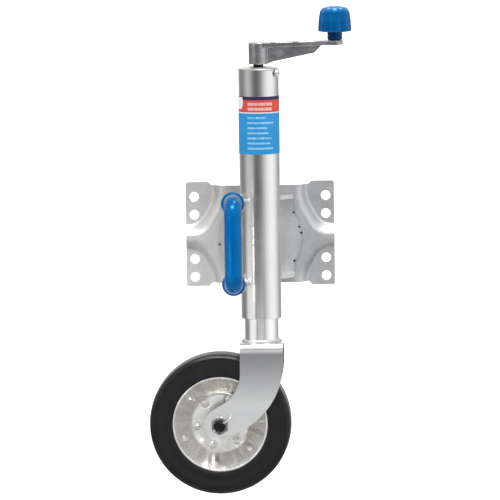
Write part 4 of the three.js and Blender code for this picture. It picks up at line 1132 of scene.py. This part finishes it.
def rim(side_sign):
    """One pressed half of the rim with six pips in its cone, open for the rivets and a drain hole."""
    line = soften([
        (13.3, 2.15), (39.5, 2.15), (43.2, 2.9, 7), (61.5, 20.6, 6), (64.6, 23.6, 2), (65.8, 24, 0.8),
        (67, 23.6, 0.4),
    ], step=6)
    back = soften([
        (67, 22.2, 0.2), (65.4, 22, 0.6), (63.6, 19.8, 3), (45.4, 2.2, 5), (40.6, 0.15, 5), (13.3, 0.15),
    ], step=10)
    dense = []
    for (r0, y0), (r1, y1) in zip(line, line[1:]):
        steps = max(1, round(hypot(r1 - r0, y1 - y0) / (0.7 if r0 < 40 else 1.1)))
        dense += [(r0 + (r1 - r0) * k / steps, y0 + (y1 - y0) * k / steps) for k in range(steps)]
    points = dense + [line[-1]] + back
    pips = [radians(21 + 60 * k) for k in range(6)]
    sides = 288
    verts, rows = [], []
    for i, (r, y) in enumerate(points):
        rows.append(list(range(len(verts), len(verts) + sides)))
        for k in range(sides):
            angle = 2 * pi * k / sides
            lift = 0.0
            if 44 < r < 66 and i < len(dense):
                for place in pips:
                    apart = (angle - place + pi) % (2 * pi) - pi
                    lift += 2.0 * math.exp(-((apart * r) / 2.6) ** 2 - ((r - 53) / 3.6) ** 2)
            x, z = r * cos(angle), r * sin(angle)
            if 26 < r < 42 and i < len(dense):
                for px, pz in RIVETS:
                    lift -= 0.55 * math.exp(-((hypot(x - px, z - pz) - 5.4) / 0.75) ** 2)
            verts.append((x, side_sign * (y + lift), z))
    rows.append(rows[0])
    shape = build(verts, strips(rows))
    tools = [plain_drill(2.85, x, z, -30, 30, 24) for x, z in RIVETS]
    tools.append(plain_drill(2.4, 37 * cos(radians(222)), 37 * sin(radians(222)), -30, 30, 24))
    return combine(shape, tools, "DIFFERENCE")


piece(rim(-1), "rim_front_half", "wheel", rim_metal, "rim_front", WHEEL, sharp=50)
piece(rim(1), "rim_rear_half", "wheel", rim_metal, "rim_rear", WHEEL, sharp=50)
for k, (x, z) in enumerate(RIVETS):
    half = [
        (2.5, 2.45), (4.5, 2.45, 0.3), (4.4, 3.4, 0.8), (2.9, 4.85, 1.6), (1.3, 5.1, 0.5), (0.9, 4.6, 0.3),
        (0, 4.5),
    ]
    shape = [(r, -y, *rest) for r, y, *rest in reversed(half)] + half
    piece(moved(lathe(shape, "Y", 40), x, 0, z),
          f"rivet_{k + 1}", "wheel", zinc, f"wheel_rivet_{k + 1}", WHEEL)
piece(sleeve(10.35, 13, -26.5, 26.5, 0.3, 0.5, "Y", 96), "hub_tube", "wheel", zinc, "wheel_hub", WHEEL)
for name, sign in (("front", -1), ("rear", 1)):
    bush = [
        (AXLE_BORE, 12.8), (10.05, 12.8), (10.05, 26.8), (12.5, 26.8, 0.3), (12.5, 27.7, 0.4),
        (AXLE_BORE, 27.7, 0.3),
    ]
    piece(lathe([(r, sign * y, *rest) for r, y, *rest in bush], "Y", 72, ring=True),
          f"hub_bush_{name}", "wheel", nylon, f"wheel_bush_{name}", WHEEL)


# ------------------------------------------------------------------ floor, light and camera

TYRE_FOOT = -0.358   # m, the tyre's lowest point at rest
WHEEL_DROP = 0.217   # m, just past the lowest that the screw drives the wheel, so no pose meets the floor


def floor():
    rows, verts = [], [(0, 0, 0)]
    rows.append([0])
    for radius in (0.5, 2, 8, 30):
        rows.append(list(range(len(verts), len(verts) + 64)))
        verts += [(radius * cos(2 * pi * k / 64), radius * sin(2 * pi * k / 64), 0) for k in range(64)]
    obj = build(verts, strips(rows))
    obj.name = "studio_floor"
    obj.location = (0, 0, TYRE_FOOT - WHEEL_DROP)
    look = bpy.data.materials.new("pale_floor")
    look.use_nodes = True
    shader = look.node_tree.nodes["Principled BSDF"]
    shader.inputs["Base Color"].default_value = (0.85, 0.85, 0.85, 1)
    shader.inputs["Roughness"].default_value = 0.9
    shader.inputs["Emission Color"].default_value = (1, 1, 1, 1)
    shader.inputs["Emission Strength"].default_value = 0.7
    obj.data.materials.append(look)
    obj.visible_glossy = False


def studio():
    """Ambient light by direction: it goes round the horizon, and above and below it is even."""
    world = bpy.data.worlds.new("studio")
    bpy.context.scene.world = world
    world.use_nodes = True
    tree = world.node_tree
    back = tree.nodes["Background"]

    def node(kind, links=(), **settings):
        made = tree.nodes.new(kind)
        for key, value in settings.items():
            setattr(made, key, value)
        for source, socket in links:
            tree.links.new(source, made.inputs[socket])
        return made

    def band(value, stops):
        made = node("ShaderNodeValToRGB", [(value, 0)])
        ramp_band = made.color_ramp
        while len(ramp_band.elements) < len(stops):
            ramp_band.elements.new(0.5)
        for element, (place, grey, *tint) in zip(ramp_band.elements, stops):
            element.position = place
            element.color = (*[grey * t for t in (tint or (1, 1, 1))], 1)
        return made.outputs[0]

    def blend(factor, a, b):
        made = node("ShaderNodeMix", data_type="RGBA")
        tree.links.new(factor, made.inputs["Factor"])
        low, high = [i for i in made.inputs if i.type == "RGBA"]
        tree.links.new(a, low)
        if isinstance(b, tuple):
            high.default_value = b
        else:
            tree.links.new(b, high)
        return next(o for o in made.outputs if o.type == "RGBA")

    coords = node("ShaderNodeTexCoord")
    parts = node("ShaderNodeSeparateXYZ", [(coords.outputs["Generated"], 0)])
    flip = node("ShaderNodeMath", [(parts.outputs["Y"], 0)], operation="MULTIPLY")
    flip.inputs[1].default_value = -1
    azimuth = node("ShaderNodeMath", [(parts.outputs["X"], 0), (flip.outputs[0], 1)], operation="ARCTAN2")
    share = node("ShaderNodeMapRange", [(azimuth.outputs[0], "Value")])
    share.inputs["From Min"].default_value = -pi
    share.inputs["From Max"].default_value = pi
    cool, warm = (0.96, 0.99, 1.04), (1.02, 1.0, 0.96)
    horizon = band(share.outputs[0], [
        (degrees / 360 + 0.5, value, *tint) for degrees, value, *tint in (
            (-180, 1.2), (-160, 0.9), (-140, 0.42, *warm), (-118, 0.2, *warm), (-98, 0.26, *warm),
            (-82, 0.42), (-68, 0.6), (-54, 0.5), (-42, 0.3), (-30, 0.1), (-18, 0.04, *cool),
            (-6, 0.06, *cool), (4, 0.16, *cool), (14, 0.34, *cool), (25, 0.62), (36, 0.88), (50, 1.1),
            (64, 1.2), (84, 1.15), (102, 0.85), (122, 0.5), (140, 0.28), (160, 0.9), (180, 1.2))
    ])
    height = node("ShaderNodeMapRange", [(parts.outputs["Z"], "Value")])
    height.inputs["From Min"].default_value = -1
    even = band(height.outputs[0], [
        (0, 0.78), (0.3, 0.5), (0.45, 0.6), (0.56, 1.15), (0.72, 1.05), (1, 0.85),
    ])
    away = band(height.outputs[0], [(0.26, 1), (0.38, 0), (0.53, 0), (0.585, 1)])
    light = blend(away, horizon, even)
    path = node("ShaderNodeLightPath")
    light = blend(path.outputs["Is Camera Ray"], light, (1, 1, 1, 1))
    tree.links.new(light, back.inputs["Color"])


def softbox(name, azimuth, elevation, distance, width, height, radiance, tint=(1, 1, 1),
            aim=(0, -0.06, 0), lift=0, spread=180):
    """A panel light seen from aim at the given angles in degrees; lengths are in metres."""
    light = bpy.data.lights.new(name, "AREA")
    light.shape = "RECTANGLE"
    light.size = width
    light.size_y = height
    light.energy = radiance * pi * width * height
    light.color = tint
    light.spread = radians(spread)
    obj = bpy.data.objects.new(name, light)
    a, e = radians(azimuth), radians(elevation)
    away = Vector((sin(a) * cos(e), -cos(a) * cos(e), sin(e)))
    obj.location = Vector(aim) + away * distance + Vector((0, 0, lift))
    obj.rotation_mode = "QUATERNION"
    obj.rotation_quaternion = away.to_track_quat("Z", "Y")
    obj.visible_camera = False
    bpy.context.scene.collection.objects.link(obj)


floor()
studio()
softbox("left_low", -62, 0, 1.2, 1.2, 0.7, 0.5, (1.0, 0.99, 0.97), lift=-0.46)
softbox("front_low", -8, 0, 1.3, 0.9, 0.5, 0.85, (0.98, 0.99, 1.0), lift=-0.5)
softbox("overhead", 12, 62, 1.6, 0.9, 0.7, 3.6)
softbox("handle_strip", -41, 0, 0.7, 0.04, 0.045, 22, lift=-0.085)
softbox("knob_top", 0, 92, 0.2, 0.2, 0.14, 5, aim=(0.1077, -0.06, 0.32), spread=100)
softbox("tyre_top", -8, 66, 0.42, 0.34, 0.08, 3.6, aim=(-0.06, -0.08, -0.17), spread=60)

camera = bpy.data.cameras.new("camera")
camera.lens = 411
camera.sensor_width = 36
camera.clip_start = 0.1
camera.clip_end = 60
viewer = bpy.data.objects.new("camera", camera)
bpy.context.scene.collection.objects.link(viewer)
bpy.context.scene.camera = viewer
elevation, distance, roll = radians(5.93), 8.028, radians(0.75)
back = Vector((0, -cos(elevation), sin(elevation)))
viewer.location = Vector((-0.0150, -0.06, -0.0139)) + back * distance
viewer.rotation_mode = "QUATERNION"
viewer.rotation_quaternion = (-back).to_track_quat("-Z", "Y") @ Matrix.Rotation(-roll, 3, "Z").to_quaternion()
bpy.context.scene.view_settings.view_transform = "Standard"
